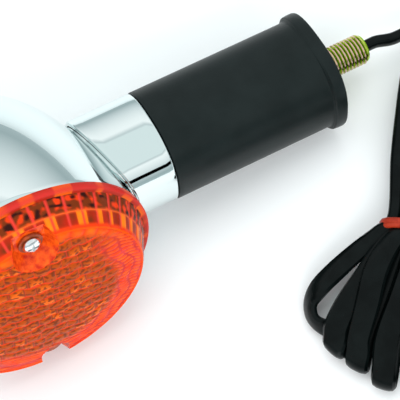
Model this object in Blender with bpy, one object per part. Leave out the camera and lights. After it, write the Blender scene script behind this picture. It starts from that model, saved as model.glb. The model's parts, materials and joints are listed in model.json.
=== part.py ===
"""Motorcycle turn signal indicator on a flexible rubber stem, with its lead tied in a hank.

Lamp frame, in millimetres: the lens faces -Y, the stem runs along +X to the threaded stud, and
+Z is up on the motorcycle. The rim plane of the lens is Y = 0. lamp_frame, an empty, lays the
whole lamp on a table, where it rests on the lens rim, the housing and the edge of the flange.
The lead, its hank and its tails are drawn straight in table coordinates, with the table at Z = 0.
"""

import math

import bmesh
import bpy
from mathutils import Matrix, Vector
from mathutils.geometry import interpolate_bezier

MM = 0.001
GAP = 0.3

# Lens and housing, turned about the lamp's Y axis.
LENS_R = 39.9
LENS_BACK = 0.2
FACE_R = 33.0
FACE_Y = -11.7
FACE_RISE = 3.5
LENS_WALL = 2.0
HOUSING_R = 38.6
HOUSING_FRONT = 2.0
HOUSING_DEPTH = 65.0
HOUSING_WALL = 1.4
LEDGE_R = 34.5
LEDGE_BACK = 3.4

# Lens screws, one above and one below the middle.
SCREW_Z = 29.4
SCREW_R = 1.55
SCREW_HOLE_R = 1.9
POCKET_FLOOR = -8.0
POCKET_FLOOR_R = 5.0
POCKET_DRAFT = 0.52
BOSS_R = 3.6

# Stem: ovals about an axis along X at Y = STEM_Y. Half sizes are (across Y, across Z).
STEM_Y = 22.5
OVAL_POWER = 2.3
FLANGE_POWER = 2.57
COLLAR = (17.87, 16.43)
COLLAR_WALL = 1.3
NECK_WALL = 1.4
COLLAR_END = 53.6
RUBBER_START = 53.9
FLANGE_START = 109.6
FLANGE_END = 114.0
FLANGE = (19.0, 17.03)
STUD_END = 130.6
STUD_R = 5.0
STUD_BORE_R = 2.8
THREAD_PITCH = 1.25
THREAD_DEPTH = 0.75
FLEX_X = 83.0

# Bulb and socket, on the lamp's Y axis.
PIN_Y = 38.5
PIN_R = 1.0
SOCKET_IN_R = 8.1
SOCKET_OUT_R = 9.0
SOCKET_FRONT = 30.6
SOCKET_BACK = 58.5
PUSH_TRAVEL = 3.0
TWIST_DEG = 18.0

# Lead, in table coordinates.
LEAD_R = 3.5
TAIL_R = 1.1
HANK_LOW = (97.0, -57.0)
HANK_TOP = (142.5, 1.5)
HANK_LOW_R = 28.0
HANK_TOP_R = 11.0
HANK_HEIGHT = 13.0
TIE_AT = 0.37
TIE_WIDTH = 4.0
TIE_THICK = 1.8
LEAD_ROUTE = (
    (139.0, 22.1, 12.3), (148.0, 23.4, 9.4), (158.0, 26.6, 6.0), (168.0, 28.6, 4.1), (178.0, 26.4, 3.7),
    (186.0, 19.6, 3.7), (188.0, 10.0, 3.7), (182.0, 2.4, 3.8), (172.0, -0.4, 4.2), (162.0, 1.6, 5.0),
)
SIGNAL_TAIL_ROUTE = (
    (153.8, -10.4, 2.8), (154.6, -16.0, 1.4), (152.5, -24.0, 1.2), (148.0, -33.0, 1.2), (142.5, -42.0, 1.2),
    (138.0, -50.0, 1.2),
)
GROUND_TAIL_ROUTE = (
    (157.0, -7.6, 3.0), (160.5, -14.0, 1.4), (160.0, -23.0, 1.2), (156.0, -33.0, 1.2), (151.0, -43.0, 1.2),
    (146.5, -52.0, 1.2),
)


# ---------------------------------------------------------------- materials

def principled(name, colour, roughness, metallic=0.0, transmission=0.0, alpha=1.0):
    material = bpy.data.materials.new(name)
    material.use_nodes = True
    shader = material.node_tree.nodes["Principled BSDF"]
    shader.inputs["Base Color"].default_value = (*colour, 1.0)
    shader.inputs["Roughness"].default_value = roughness
    shader.inputs["Metallic"].default_value = metallic
    shader.inputs["Transmission Weight"].default_value = transmission
    shader.inputs["Alpha"].default_value = alpha
    return material


def make_materials():
    return {
        "chrome": principled("chrome", (0.82, 0.85, 0.86), 0.06, metallic=1.0),
        "amber": principled("amber_lens", (0.90, 0.22, 0.02), 0.15, transmission=0.6),
        "rubber": principled("black_rubber", (0.020, 0.024, 0.025), 0.55),
        "gasket": principled("gasket_rubber", (0.03, 0.03, 0.03), 0.8),
        "zinc": principled("yellow_zinc", (0.55, 0.50, 0.16), 0.3, metallic=1.0),
        "steel": principled("plain_steel", (0.60, 0.61, 0.62), 0.35, metallic=1.0),
        "screw": principled("screw_steel", (0.75, 0.77, 0.78), 0.2, metallic=1.0),
        "reflector": principled("reflector_bright", (0.85, 0.86, 0.86), 0.1, metallic=1.0),
        "brass": principled("brass", (0.72, 0.55, 0.22), 0.3, metallic=1.0),
        "glass": principled("bulb_glass", (0.95, 0.97, 0.97), 0.03, transmission=1.0, alpha=0.4),
        "tungsten": principled("tungsten", (0.25, 0.25, 0.26), 0.4, metallic=1.0),
        "solder": principled("solder", (0.62, 0.62, 0.60), 0.4, metallic=1.0),
        "fibre": principled("fibre_board", (0.35, 0.20, 0.12), 0.7),
        "wire_signal": principled("signal_wire_vinyl", (0.55, 0.20, 0.03), 0.4),
        "wire_ground": principled("ground_wire_vinyl", (0.02, 0.02, 0.02), 0.4),
        "lead": principled("lead_vinyl", (0.010, 0.013, 0.013), 0.2),
        "tie": principled("tie_vinyl", (0.50, 0.06, 0.02), 0.35),
        "bullet": principled("bullet_brass", (0.78, 0.70, 0.48), 0.3, metallic=1.0),
    }


# ---------------------------------------------------------------- outlines and meshes

def oval_reach(size, power, angle):
    """Distance from the middle of an oval to its edge, in the direction angle from +Y towards +Z."""
    across = abs(math.cos(angle)) / size[0]
    upward = abs(math.sin(angle)) / size[1]
    return (across**power + upward**power) ** (-1.0 / power)


def angles(count):
    return [2.0 * math.pi * i / count for i in range(count)]


def stem_ring(x, size, power=OVAL_POWER, count=40):
    """An oval ring about the stem's axis. x may be a function of the angle."""
    ring = []
    for angle in angles(count):
        reach = oval_reach(size, power, angle)
        place = x(angle) if callable(x) else x
        ring.append((place, STEM_Y + reach * math.cos(angle), reach * math.sin(angle)))
    return ring


def round_ring(x, radius, count=40):
    return stem_ring(x, (radius, radius), 2.0, count)


def loft(rings, closed):
    """A skin over rings of equal count: capped at both ends or, when closed, joined into a loop."""
    count = len(rings[0])
    points = [point for ring in rings for point in ring]
    faces = []
    pairs = len(rings) if closed else len(rings) - 1
    for r in range(pairs):
        first = r * count
        second = ((r + 1) % len(rings)) * count
        for i in range(count):
            j = (i + 1) % count
            faces.append((first + i, first + j, second + j, second + i))
    if not closed:
        faces.append(tuple(range(count)))
        faces.append(tuple(range(len(points) - count, len(points))))
    return points, faces


def turned(profile, count, centre=(0.0, 0.0, 0.0), closed=False):
    """Turns a profile of (radius, y) about a line along Y. An open profile starts and ends on the line.

    A shape away from the lamp's middle is turned a little, so that its corners miss those of the shape it cuts.
    """
    points = []
    rows = []
    offset = 0.13 if any(centre) else 0.0
    for radius, y in profile:
        row = []
        steps = angles(count) if radius > 1e-6 else [0.0]
        for angle in steps:
            row.append(len(points))
            x = centre[0] + radius * math.cos(angle + offset)
            z = centre[2] + radius * math.sin(angle + offset)
            points.append((x, centre[1] + y, z))
        rows.append(row)
    faces = []
    pairs = len(rows) if closed else len(rows) - 1
    for r in range(pairs):
        first = rows[r]
        second = rows[(r + 1) % len(rows)]
        for i in range(count):
            j = (i + 1) % count
            corners = [first[i % len(first)], first[j % len(first)]]
            corners += [second[j % len(second)], second[i % len(second)]]
            face = tuple(dict.fromkeys(corners))
            if len(face) > 2:
                faces.append(face)
    return points, faces


def box(low, high):
    points = [(x, y, z) for x in (low[0], high[0]) for y in (low[1], high[1]) for z in (low[2], high[2])]
    faces = [(0, 1, 3, 2), (4, 6, 7, 5), (0, 4, 5, 1), (2, 3, 7, 6), (0, 2, 6, 4), (1, 5, 7, 3)]
    return points, faces


def solid(name, shape, material, parent, pivot=(0.0, 0.0, 0.0)):
    """An object from points in millimetres. pivot is its parent's place, where its origin goes."""
    points, faces = shape
    mesh = bpy.data.meshes.new(name)
    mesh.from_pydata([((Vector(p) - Vector(pivot)) * MM) for p in points], [], faces)
    work = bmesh.new()
    work.from_mesh(mesh)
    bmesh.ops.recalc_face_normals(work, faces=work.faces)
    work.to_mesh(mesh)
    work.free()
    mesh.shade_smooth()
    mesh.set_sharp_from_angle(angle=math.radians(35.0))
    thing = bpy.data.objects.new(name, mesh)
    bpy.context.scene.collection.objects.link(thing)
    if material:
        mesh.materials.append(material)
    thing.parent = parent
    return thing


def cutter(name, shape, parent, pivot=(0.0, 0.0, 0.0)):
    thing = solid(name, shape, None, parent, pivot)
    thing.hide_render = True
    thing.display_type = "WIRE"
    return thing


def combine(thing, other, operation):
    change = thing.modifiers.new(operation.lower(), "BOOLEAN")
    change.operation = operation
    change.object = other
    change.solver = "EXACT"


def empty(name, place, parent=None):
    thing = bpy.data.objects.new(name, None)
    bpy.context.scene.collection.objects.link(thing)
    thing.parent = parent
    thing.location = Vector(place) * MM
    return thing


def smooth_route(points, ends, steps):
    """Points on one smooth curve through the route's points. ends are the directions at its two ends."""
    knots = [Vector(p) for p in points]
    slopes = []
    for i in range(len(knots)):
        if i == 0:
            slopes.append(Vector(ends[0]).normalized() * (knots[1] - knots[0]).length)
        elif i == len(knots) - 1:
            slopes.append(Vector(ends[1]).normalized() * (knots[-1] - knots[-2]).length)
        else:
            slopes.append((knots[i + 1] - knots[i - 1]) / 2.0)
    curve = []
    for i in range(len(knots) - 1):
        a = knots[i] + slopes[i] / 3.0
        b = knots[i + 1] - slopes[i + 1] / 3.0
        curve += interpolate_bezier(knots[i], a, b, knots[i + 1], steps + 1)[:-1]
    return curve + [knots[-1]]


def tube(name, curve, radius, material, parent, resolution=2):
    data = bpy.data.curves.new(name, "CURVE")
    data.dimensions = "3D"
    data.bevel_depth = radius * MM
    data.bevel_resolution = resolution
    data.use_fill_caps = True
    spline = data.splines.new("POLY")
    spline.points.add(len(curve) - 1)
    for point, place in zip(spline.points, curve):
        point.co = (*(place * MM), 1.0)
    data.materials.append(material)
    thing = bpy.data.objects.new(name, data)
    bpy.context.scene.collection.objects.link(thing)
    thing.parent = parent
    return thing


# ---------------------------------------------------------------- how the lamp lies on a table

def lowest_along(up):
    """How low the rim, the housing and the flange each reach, measured along up."""
    side = math.hypot(up[0], up[2])
    rim = up[1] * LENS_BACK - LENS_R * side
    dome = up[1] * HOUSING_FRONT - math.hypot(HOUSING_R * side, HOUSING_DEPTH * up[1])
    power = FLANGE_POWER / (FLANGE_POWER - 1.0)
    across = abs(up[1] * FLANGE[0])
    upward = abs(up[2] * FLANGE[1])
    flange = up[0] * FLANGE_END + up[1] * STEM_Y - (across**power + upward**power) ** (1.0 / power)
    return rim, dome, flange


def resting_up():
    """The table's upward direction in the lamp frame, where rim, housing and flange all touch it."""

    def misfit(lean, tip):
        rim, dome, flange = lowest_along((lean, tip, math.sqrt(1.0 - lean**2 - tip**2)))
        return Vector((dome - rim, flange - rim))

    lean = -0.17
    tip = -0.14
    small = 1e-5
    for _ in range(12):
        here = misfit(lean, tip)
        by_lean = (misfit(lean + small, tip) - here) / small
        by_tip = (misfit(lean, tip + small) - here) / small
        scale = by_lean.x * by_tip.y - by_tip.x * by_lean.y
        lean -= (here.x * by_tip.y - by_tip.x * here.y) / scale
        tip -= (by_lean.x * here.y - here.x * by_lean.y) / scale
    return Vector((lean, tip, math.sqrt(1.0 - lean**2 - tip**2)))


def lying_matrix():
    up = resting_up()
    along = (Vector((1.0, 0.0, 0.0)) - up * up[0]).normalized()
    back = up.cross(along)
    turn = Matrix((along, back, up))
    drop = lowest_along(up)[0]
    return turn.to_4x4(), drop


# ---------------------------------------------------------------- lens and its screws

def face_y(radius):
    return FACE_Y - FACE_RISE * (1.0 - (radius / FACE_R) ** 2)


def pocket_shape(sign, grow, floor):
    """A U-shaped pocket, open to the front and to the side, that widens towards the front."""
    rings = []
    for y in (floor, -17.0):
        radius = POCKET_FLOOR_R + grow + (POCKET_FLOOR - y) * POCKET_DRAFT
        ring = [(radius * math.cos(a), y, sign * (SCREW_Z + radius * math.sin(a)))
                for a in [math.pi + math.pi * i / 12 for i in range(13)]]
        ring += [(radius, y, sign * 46.0), (-radius, y, sign * 46.0)]
        rings.append(ring)
    return loft(rings, closed=False)


def make_lens(parent, materials):
    face = [(r, face_y(r)) for r in (0.0, 9.0, 17.0, 25.0, 32.5)]
    side = [(33.3, FACE_Y + 0.4), (38.2, -2.4), (39.6, -2.4), (LENS_R, -2.1), (LENS_R, LENS_BACK)]
    lens = solid("lens", turned(face + side + [(0.0, LENS_BACK)], 64), materials["amber"], parent)
    inside = [(r, face_y(r) + LENS_WALL) for r in (0.0, 11.0, 21.0, 31.0)]
    inside += [(35.0, -2.2), (35.0, 1.0), (0.0, 1.0)]
    cavity = cutter("lens_cavity_cutter", turned(inside, 40), parent)
    for side_name, sign in (("top", 1.0), ("bottom", -1.0)):
        centre = (0.0, 0.0, sign * SCREW_Z)
        wall = cutter(f"pocket_wall_{side_name}", pocket_shape(sign, 1.6, POCKET_FLOOR + 1.8), parent)
        boss = cutter(f"lens_boss_{side_name}", turned(rod(BOSS_R, -8.0, LEDGE_BACK), 24, centre), parent)
        combine(cavity, wall, "DIFFERENCE")
        combine(cavity, boss, "DIFFERENCE")
        pocket = cutter(f"pocket_cutter_{side_name}", pocket_shape(sign, 0.0, POCKET_FLOOR), parent)
        hole = cutter(f"lens_hole_{side_name}", turned(rod(SCREW_HOLE_R, -12.0, 4.0), 20, centre), parent)
        combine(lens, pocket, "DIFFERENCE")
        combine(lens, hole, "DIFFERENCE")
    combine(lens, cavity, "DIFFERENCE")


def rod(radius, start, end):
    return [(0.0, start), (radius, start), (radius, end), (0.0, end)]


def ring_profile(inner, outer, start, end):
    return [(inner, start), (outer, start), (outer, end), (inner, end)]


def make_lens_screw(side_name, sign, parent, materials):
    """A pan-head screw with a cross recess. parent is an empty on the screw's axis."""
    pivot = (0.0, 0.0, sign * SCREW_Z)
    profile = [(0.0, -11.3), (1.6, -11.1), (2.5, -10.5), (2.9, -9.8), (2.9, -9.3), (SCREW_R, -9.3)]
    profile += [(SCREW_R, 13.4), (0.9, 14.2), (0.0, 14.2)]
    screw = solid(f"lens_screw_{side_name}", turned(profile, 24, pivot), materials["screw"], parent, pivot)
    for name, half_x, half_z in (("across", 2.0, 0.45), ("upright", 0.45, 2.0)):
        low = (-half_x, -12.0, pivot[2] - half_z)
        high = (half_x, -10.1, pivot[2] + half_z)
        slot = cutter(f"screw_recess_{name}_{side_name}", box(low, high), parent, pivot)
        combine(screw, slot, "DIFFERENCE")


def make_lens_washer(side_name, sign, parent, materials):
    centre = (0.0, 0.0, sign * SCREW_Z)
    shape = turned(ring_profile(SCREW_HOLE_R, 3.9, -9.0, -8.3), 24, centre, closed=True)
    solid(f"lens_screw_washer_{side_name}", shape, materials["gasket"], parent)


def make_gasket(parent, materials):
    solid("lens_gasket", turned(ring_profile(33.6, 38.2, 0.5, 1.7), 48, closed=True), materials["gasket"], parent)


# ---------------------------------------------------------------- housing, neck and collar

def housing_x(y, z):
    """Where the housing's outer skin is on the stem's side, for a point at y and z."""
    left = 1.0 - ((y - HOUSING_FRONT) / HOUSING_DEPTH) ** 2 - (z / HOUSING_R) ** 2
    return HOUSING_R * math.sqrt(max(0.0, left))


def collar_start(angle):
    """The collar's edge follows the housing's curve, a little outside it."""
    reach = oval_reach(COLLAR, OVAL_POWER, angle)
    return housing_x(STEM_Y + reach * math.cos(angle), reach * math.sin(angle)) + 1.6


def neck_size(shrink):
    return (COLLAR[0] - shrink, COLLAR[1] - shrink)


def neck_foot(angle):
    """How far the neck's foot spreads on the housing: least behind, most in front, never past the rim."""
    turn = abs(math.degrees(math.atan2(math.sin(angle), math.cos(angle))))
    share = min(1.0, max(0.0, (turn - 75.0) / 55.0))
    spread = 3.6 + 10.4 * share * share * (3.0 - 2.0 * share)
    reach = oval_reach(neck_size(COLLAR_WALL + GAP), OVAL_POWER, angle) + spread
    towards_rim = -math.cos(angle)
    if towards_rim > 0.05:
        reach = min(reach, (STEM_Y - HOUSING_FRONT - 0.3) / towards_rim)
    return reach


def neck_rings():
    """Rings of the neck: a round foot on the housing that sweeps in to the oval under the collar."""
    size = neck_size(COLLAR_WALL + GAP)
    steps = 5
    rings = [[] for _ in range(steps + 3)]
    for angle in angles(40):
        across = math.cos(angle)
        upward = math.sin(angle)
        reach = oval_reach(size, OVAL_POWER, angle)
        foot = neck_foot(angle)
        foot_x = housing_x(STEM_Y + foot * across, foot * upward) - 0.35
        end_x = collar_start(angle) - 0.5
        rings[0].append((20.0, STEM_Y + 0.8 * foot * across, 0.8 * foot * upward))
        for i in range(steps + 1):
            bend = math.pi / 2.0 * i / steps
            out = reach + (foot - reach) * (1.0 - math.sin(bend))
            x = foot_x + (end_x - foot_x) * (1.0 - math.cos(bend))
            rings[i + 1].append((x, STEM_Y + out * across, out * upward))
        rings[-1].append((53.8, STEM_Y + reach * across, reach * upward))
    return rings


def dome_profile(radius, depth, steps):
    turns = [math.pi / 2.0 * i / steps for i in range(1, steps)]
    return [(radius * math.cos(t), HOUSING_FRONT + depth * math.sin(t)) for t in turns]


def make_housing(parent, materials):
    """The chromed shell and its neck are one piece, with a ledge for the gasket and two screw bosses."""
    outer = [(0.0, HOUSING_FRONT), (HOUSING_R, HOUSING_FRONT)] + dome_profile(HOUSING_R, HOUSING_DEPTH, 10)
    outer.append((0.0, HOUSING_FRONT + HOUSING_DEPTH))
    housing = solid("housing_shell", turned(outer, 48), materials["chrome"], parent)
    neck = cutter("neck_outer", loft(neck_rings(), closed=False), parent)
    combine(housing, neck, "UNION")

    inner_r = HOUSING_R - HOUSING_WALL
    inner_depth = HOUSING_DEPTH - HOUSING_WALL
    inner = [(0.0, 1.0), (LEDGE_R, 1.0), (LEDGE_R, LEDGE_BACK), (inner_r, LEDGE_BACK)]
    inner += dome_profile(inner_r, inner_depth, 8) + [(0.0, HOUSING_FRONT + inner_depth)]
    cavity = cutter("housing_cavity", turned(inner, 40), parent)
    combine(housing, cavity, "DIFFERENCE")
    bore_size = neck_size(COLLAR_WALL + GAP + NECK_WALL)
    bore = cutter("neck_bore", loft([stem_ring(18.0, bore_size), stem_ring(60.0, bore_size)], False), parent)
    combine(housing, bore, "DIFFERENCE")

    plate_size = neck_size(COLLAR_WALL + GAP + 1.0)
    plate_rings = [stem_ring(48.6, plate_size), stem_ring(51.0, plate_size)]
    plate_rings += [round_ring(51.0, 5.2), round_ring(48.6, 5.2)]
    plate = cutter("neck_bulkhead", loft(plate_rings, closed=True), parent)
    combine(housing, plate, "UNION")
    for side_name, sign in (("top", 1.0), ("bottom", -1.0)):
        centre = (0.0, 0.0, sign * SCREW_Z)
        boss = cutter(f"housing_boss_{side_name}", turned(rod(BOSS_R, 4.9, 17.0), 24, centre), parent)
        heights = sorted((sign * (SCREW_Z + 2.4), sign * 37.4))
        web = cutter(f"boss_web_{side_name}", box((-1.6, 5.5, heights[0]), (1.6, 16.0, heights[1])), parent)
        hole = cutter(f"boss_hole_{side_name}", turned(rod(SCREW_HOLE_R, 4.0, 15.0), 20, centre), parent)
        combine(housing, boss, "UNION")
        combine(housing, web, "UNION")
        combine(housing, hole, "DIFFERENCE")


def make_collar(parent, materials):
    outer = COLLAR
    edge = neck_size(0.3)
    inner = neck_size(COLLAR_WALL)
    rings = [stem_ring(collar_start, edge), stem_ring(lambda a: collar_start(a) + 0.3, outer)]
    rings += [stem_ring(COLLAR_END - 0.3, outer), stem_ring(COLLAR_END, edge)]
    rings += [stem_ring(COLLAR_END, inner), stem_ring(collar_start, inner)]
    solid("stem_collar", loft(rings, closed=True), materials["chrome"], parent)


# ---------------------------------------------------------------- stem and stud

def make_stem_rubber(parent, materials):
    """An oval rubber stem with a flange, hollow down the middle, with a recess in each end."""
    body = (17.95, 16.45)
    outside = [(RUBBER_START, (17.45, 16.0), OVAL_POWER), (54.5, body, OVAL_POWER)]
    outside += [(x, body, OVAL_POWER) for x in (72.0, 90.0, 108.4)]
    outside += [(109.3, (18.25, 16.6), 2.4), (FLANGE_START + 0.2, (18.5, 16.75), 2.5)]
    outside += [(110.4, FLANGE, FLANGE_POWER)]
    outside += [(FLANGE_END - 0.4, FLANGE, FLANGE_POWER), (FLANGE_END, (18.7, 16.75), FLANGE_POWER)]
    rings = [stem_ring(x, size, power) for x, size, power in outside]
    rings += [stem_ring(FLANGE_END, (13.1, 11.9)), stem_ring(110.4, (13.1, 11.9))]
    rings += [round_ring(110.4, 6.2), round_ring(57.3, 6.2)]
    rings += [stem_ring(57.3, (13.3, 12.3)), stem_ring(RUBBER_START, (13.3, 12.3))]
    solid("stem_rubber", loft(rings, closed=True), materials["rubber"], parent)


def make_stem_bolt(parent, materials):
    """A hollow bolt with an oval plate that is bonded into the rubber's inner end."""
    rings = [round_ring(40.0, 2.9), round_ring(40.0, 4.5), round_ring(40.4, 4.8), round_ring(54.2, 4.8)]
    rings += [stem_ring(54.2, (13.0, 12.0)), stem_ring(57.0, (13.0, 12.0)), round_ring(57.0, 2.9)]
    solid("stem_bolt", loft(rings, closed=True), materials["steel"], parent)


def make_stem_washer(parent, materials):
    rings = [round_ring(47.2, 5.2, 32), round_ring(47.2, 8.6, 32)]
    rings += [round_ring(48.3, 8.6, 32), round_ring(48.3, 5.2, 32)]
    solid("stem_washer", loft(rings, closed=True), materials["steel"], parent)


def make_stem_nut(parent, materials):
    def hexagon(x, across_flats):
        ring = []
        for angle in angles(24):
            within = (angle + math.pi / 6.0) % (math.pi / 3.0) - math.pi / 6.0
            reach = across_flats / 2.0 / math.cos(within)
            ring.append((x, STEM_Y + reach * math.cos(angle), reach * math.sin(angle)))
        return ring

    rings = [round_ring(42.3, 5.1, 24), hexagon(42.3, 13.0), hexagon(46.9, 13.0), round_ring(46.9, 5.1, 24)]
    solid("stem_nut", loft(rings, closed=True), materials["steel"], parent)


def make_mounting_stud(parent, materials):
    """A hollow threaded stud with an oval plate that is bonded into the flange."""
    count = 20
    rings = [round_ring(110.7, STUD_BORE_R, count), stem_ring(110.7, (12.8, 11.6), count=count)]
    rings += [stem_ring(113.8, (12.8, 11.6), count=count), round_ring(113.8, STUD_R - 0.6, count)]
    x = 114.6
    while x < STUD_END - THREAD_PITCH:
        rings.append(round_ring(x, STUD_R - THREAD_DEPTH, count))
        rings.append(round_ring(x + THREAD_PITCH / 2.0, STUD_R, count))
        x += THREAD_PITCH
    rings += [round_ring(x, STUD_R - THREAD_DEPTH, count), round_ring(STUD_END - 0.3, 4.35, count)]
    rings += [round_ring(STUD_END, 4.0, count), round_ring(STUD_END, STUD_BORE_R, count)]
    solid("mounting_stud", loft(rings, closed=True), materials["zinc"], parent)


# ---------------------------------------------------------------- reflector, socket and bulb

def make_reflector(parent, materials):
    """A bright dish with a flat rim that the housing bosses clamp, and a flat base for the socket."""
    thick = 0.8
    rim_y = 3.6
    base_y = 29.3
    dish = []
    for i in range(1, 5):
        y = rim_y + (base_y - rim_y) * i / 5.0
        dish.append((math.sqrt(24.6**2 + (15.5**2 - 24.6**2) * i / 5.0), y))
    front = [(34.1, rim_y), (24.6, rim_y)] + dish + [(15.5, base_y), (9.6, base_y)]
    back = [(9.6, base_y + thick), (16.3, base_y + thick)]
    back += [(r + thick, y + 0.3) for r, y in reversed(dish)] + [(25.2, rim_y + thick), (34.1, rim_y + thick)]
    reflector = solid("reflector", turned(front + back, 30, closed=True), materials["reflector"], parent)
    for name, x, z in (("top", 0.0, SCREW_Z), ("bottom", 0.0, -SCREW_Z)):
        hole = cutter(f"reflector_hole_{name}", turned(rod(2.2, 0.0, 6.0), 20, (x, 0.0, z)), parent)
        combine(reflector, hole, "DIFFERENCE")
    for name, x in (("right", 12.4), ("left", -12.4)):
        hole = cutter(f"reflector_seat_{name}", turned(rod(1.6, 27.0, 32.0), 16, (x, 0.0, 0.0)), parent)
        combine(reflector, hole, "DIFFERENCE")


def make_socket(parent, materials):
    """A bayonet shell with a flange. Each slot lets a pin in, down and round to its lock."""
    back_in = SOCKET_BACK - 1.2
    profile = [(SOCKET_IN_R, SOCKET_FRONT), (15.4, SOCKET_FRONT), (15.4, SOCKET_FRONT + 1.1)]
    profile += [(SOCKET_OUT_R, SOCKET_FRONT + 1.1), (SOCKET_OUT_R, SOCKET_BACK), (2.2, SOCKET_BACK)]
    profile += [(2.2, back_in), (SOCKET_IN_R, back_in)]
    shell = solid("socket_shell", turned(profile, 40, closed=True), materials["steel"], parent)
    released = (SOCKET_IN_R + 0.4) * math.sin(math.radians(TWIST_DEG))
    margin = PIN_R + 0.4
    for name, sign in (("top", 1.0), ("bottom", -1.0)):
        heights = sorted((sign * 6.5, sign * 10.0))
        wide = sorted((-sign * margin, sign * (released + margin)))
        window = box((wide[0], PIN_Y - margin, heights[0]), (wide[1], PIN_Y + PUSH_TRAVEL + margin, heights[1]))
        combine(shell, cutter(f"bayonet_window_{name}", window, parent), "DIFFERENCE")
        entry = sorted((sign * (released - margin), sign * (released + margin)))
        way_in = box((entry[0], SOCKET_FRONT - 1.0, heights[0]), (entry[1], PIN_Y, heights[1]))
        combine(shell, cutter(f"bayonet_entry_{name}", way_in, parent), "DIFFERENCE")
    for name, x in (("right", 12.4), ("left", -12.4)):
        hole = cutter(f"socket_hole_{name}", turned(rod(1.6, 29.0, 33.0), 16, (x, 0.0, 0.0)), parent)
        combine(shell, hole, "DIFFERENCE")


def make_socket_screw(name, x, head_y, parent, materials):
    profile = [(0.0, 27.6), (1.3, 28.0), (1.3, head_y), (2.6, head_y), (2.6, head_y + 1.0), (1.8, head_y + 1.7)]
    profile.append((0.0, head_y + 1.9))
    solid(name, turned(profile, 20, (x, 0.0, 0.0)), materials["screw"], parent)


def make_ground_terminal(parent, materials):
    """A ring under the right-hand socket screw, with a tongue to the ground wire."""
    ring = turned(ring_profile(1.6, 3.2, 32.0, 32.8), 24, (12.4, 0.0, 0.0), closed=True)
    terminal = solid("ground_terminal", ring, materials["brass"], parent)
    tongue = cutter("ground_tongue", box((11.2, 32.0, -10.8), (13.6, 32.8, -2.6)), parent)
    combine(terminal, tongue, "UNION")


def make_bulb(parent, pivot, materials):
    """A single-filament bayonet bulb: cap with two pins, envelope, filament and solder contact."""
    cap_profile = [(0.0, 34.2), (6.6, 34.2), (6.6, 30.0), (7.3, 30.0), (7.5, 30.6), (7.5, 44.2), (6.8, 45.0)]
    cap_profile.append((0.0, 45.0))
    cap = solid("bulb_cap", turned(cap_profile, 32), materials["brass"], parent, pivot)
    pins = loft([[(PIN_R * math.cos(a), PIN_Y + PIN_R * math.sin(a), z) for a in angles(16)]
                 for z in (-8.5, 8.5)], closed=False)
    combine(cap, cutter("bulb_pins", pins, parent, pivot), "UNION")

    centre_y = 10.0
    turns = [math.radians(a) for a in range(-65, 61, 25)]
    outside = [(13.25 * math.cos(t), centre_y + 13.25 * math.sin(t)) for t in turns]
    inside = [(12.45 * math.cos(t), centre_y + 12.45 * math.sin(t)) for t in turns]
    profile = [(0.0, centre_y - 13.25)] + outside + [(6.2, 26.0), (6.2, 33.8), (5.4, 33.8), (5.4, 25.6)]
    profile += inside[::-1] + [(0.0, centre_y - 12.45)]
    solid("bulb_glass", turned(profile, 24), materials["glass"], parent, pivot)

    route = [(-3.0, 33.6), (-3.0, 28.0), (-3.4, 20.0), (-4.0, 12.5)]
    route += [(-3.2 + 0.8 * i, 11.0 if i % 2 else 9.4) for i in range(9)]
    route += [(4.0, 12.5), (3.4, 20.0), (3.0, 28.0), (3.0, 33.6)]
    line = [Vector((x, y - pivot[1], 0.0)) for x, y in route]
    tube("bulb_filament", line, 0.3, materials["tungsten"], parent, 0)

    tip = [(0.0, 45.3), (3.0, 45.3), (3.0, 45.9), (2.0, 46.6), (0.0, 46.8)]
    solid("bulb_contact", turned(tip, 24), materials["solder"], parent, pivot)


def make_contact(parent, pivot, materials):
    disc = turned(ring_profile(1.5, 7.6, 47.9, 50.2), 32, closed=True)
    solid("contact_disc", disc, materials["fibre"], parent, pivot)
    pin = [(0.0, 47.1), (2.8, 47.1), (2.8, 47.6), (1.2, 47.6), (1.2, 52.6), (0.0, 52.6)]
    solid("contact_pin", turned(pin, 20), materials["brass"], parent, pivot)


def make_contact_spring(parent, materials):
    turns = 4.5
    wire_r = 0.45
    start = 50.2 + GAP + wire_r
    end = SOCKET_BACK - 1.2 - GAP - wire_r
    count = 46
    line = []
    for i in range(count):
        share = i / (count - 1)
        angle = 2.0 * math.pi * turns * share
        line.append(Vector((5.2 * math.cos(angle), start + (end - start) * share, 5.2 * math.sin(angle))))
    tube("contact_spring", line, wire_r, materials["steel"], parent, 1)


def make_inner_wires(parent, materials):
    """Two wires from the socket, through the hollow bolt and the rubber, to the stud's mouth."""
    signal = [(0.0, 53.0, 0.0), (0.0, 56.5, 0.0), (0.6, 60.0, 0.0), (4.5, 62.0, 0.2), (9.5, 60.5, 0.5)]
    signal += [(15.0, 55.5, 0.9), (20.5, 48.0, 1.2), (26.0, 39.0, 1.25), (31.0, 30.5, 1.25)]
    signal += [(35.0, 25.2, 1.25), (39.5, 22.8, 1.25), (45.0, STEM_Y, 1.25)]
    ground = [(12.4, 32.4, -11.1), (13.4, 32.8, -13.6), (17.5, 32.6, -14.8), (23.5, 30.5, -12.0)]
    ground += [(29.5, 27.0, -7.2), (34.5, 24.2, -3.0), (39.0, 22.8, -1.5), (45.0, STEM_Y, -1.25)]
    for name, route, z, start in (("signal_wire", signal, 1.25, (0, 1, 0)), ("ground_wire", ground, -1.25, (0, 0, -1))):
        route += [(x, STEM_Y, z) for x in (60.0, 80.0, 100.0, 120.0, 129.0)]
        curve = smooth_route(route, (start, (1, 0, 0)), 2)
        tube(name, curve, 1.05, materials["wire_signal" if name == "signal_wire" else "wire_ground"], parent, 1)


# ---------------------------------------------------------------- lead, hank and tails

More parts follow.
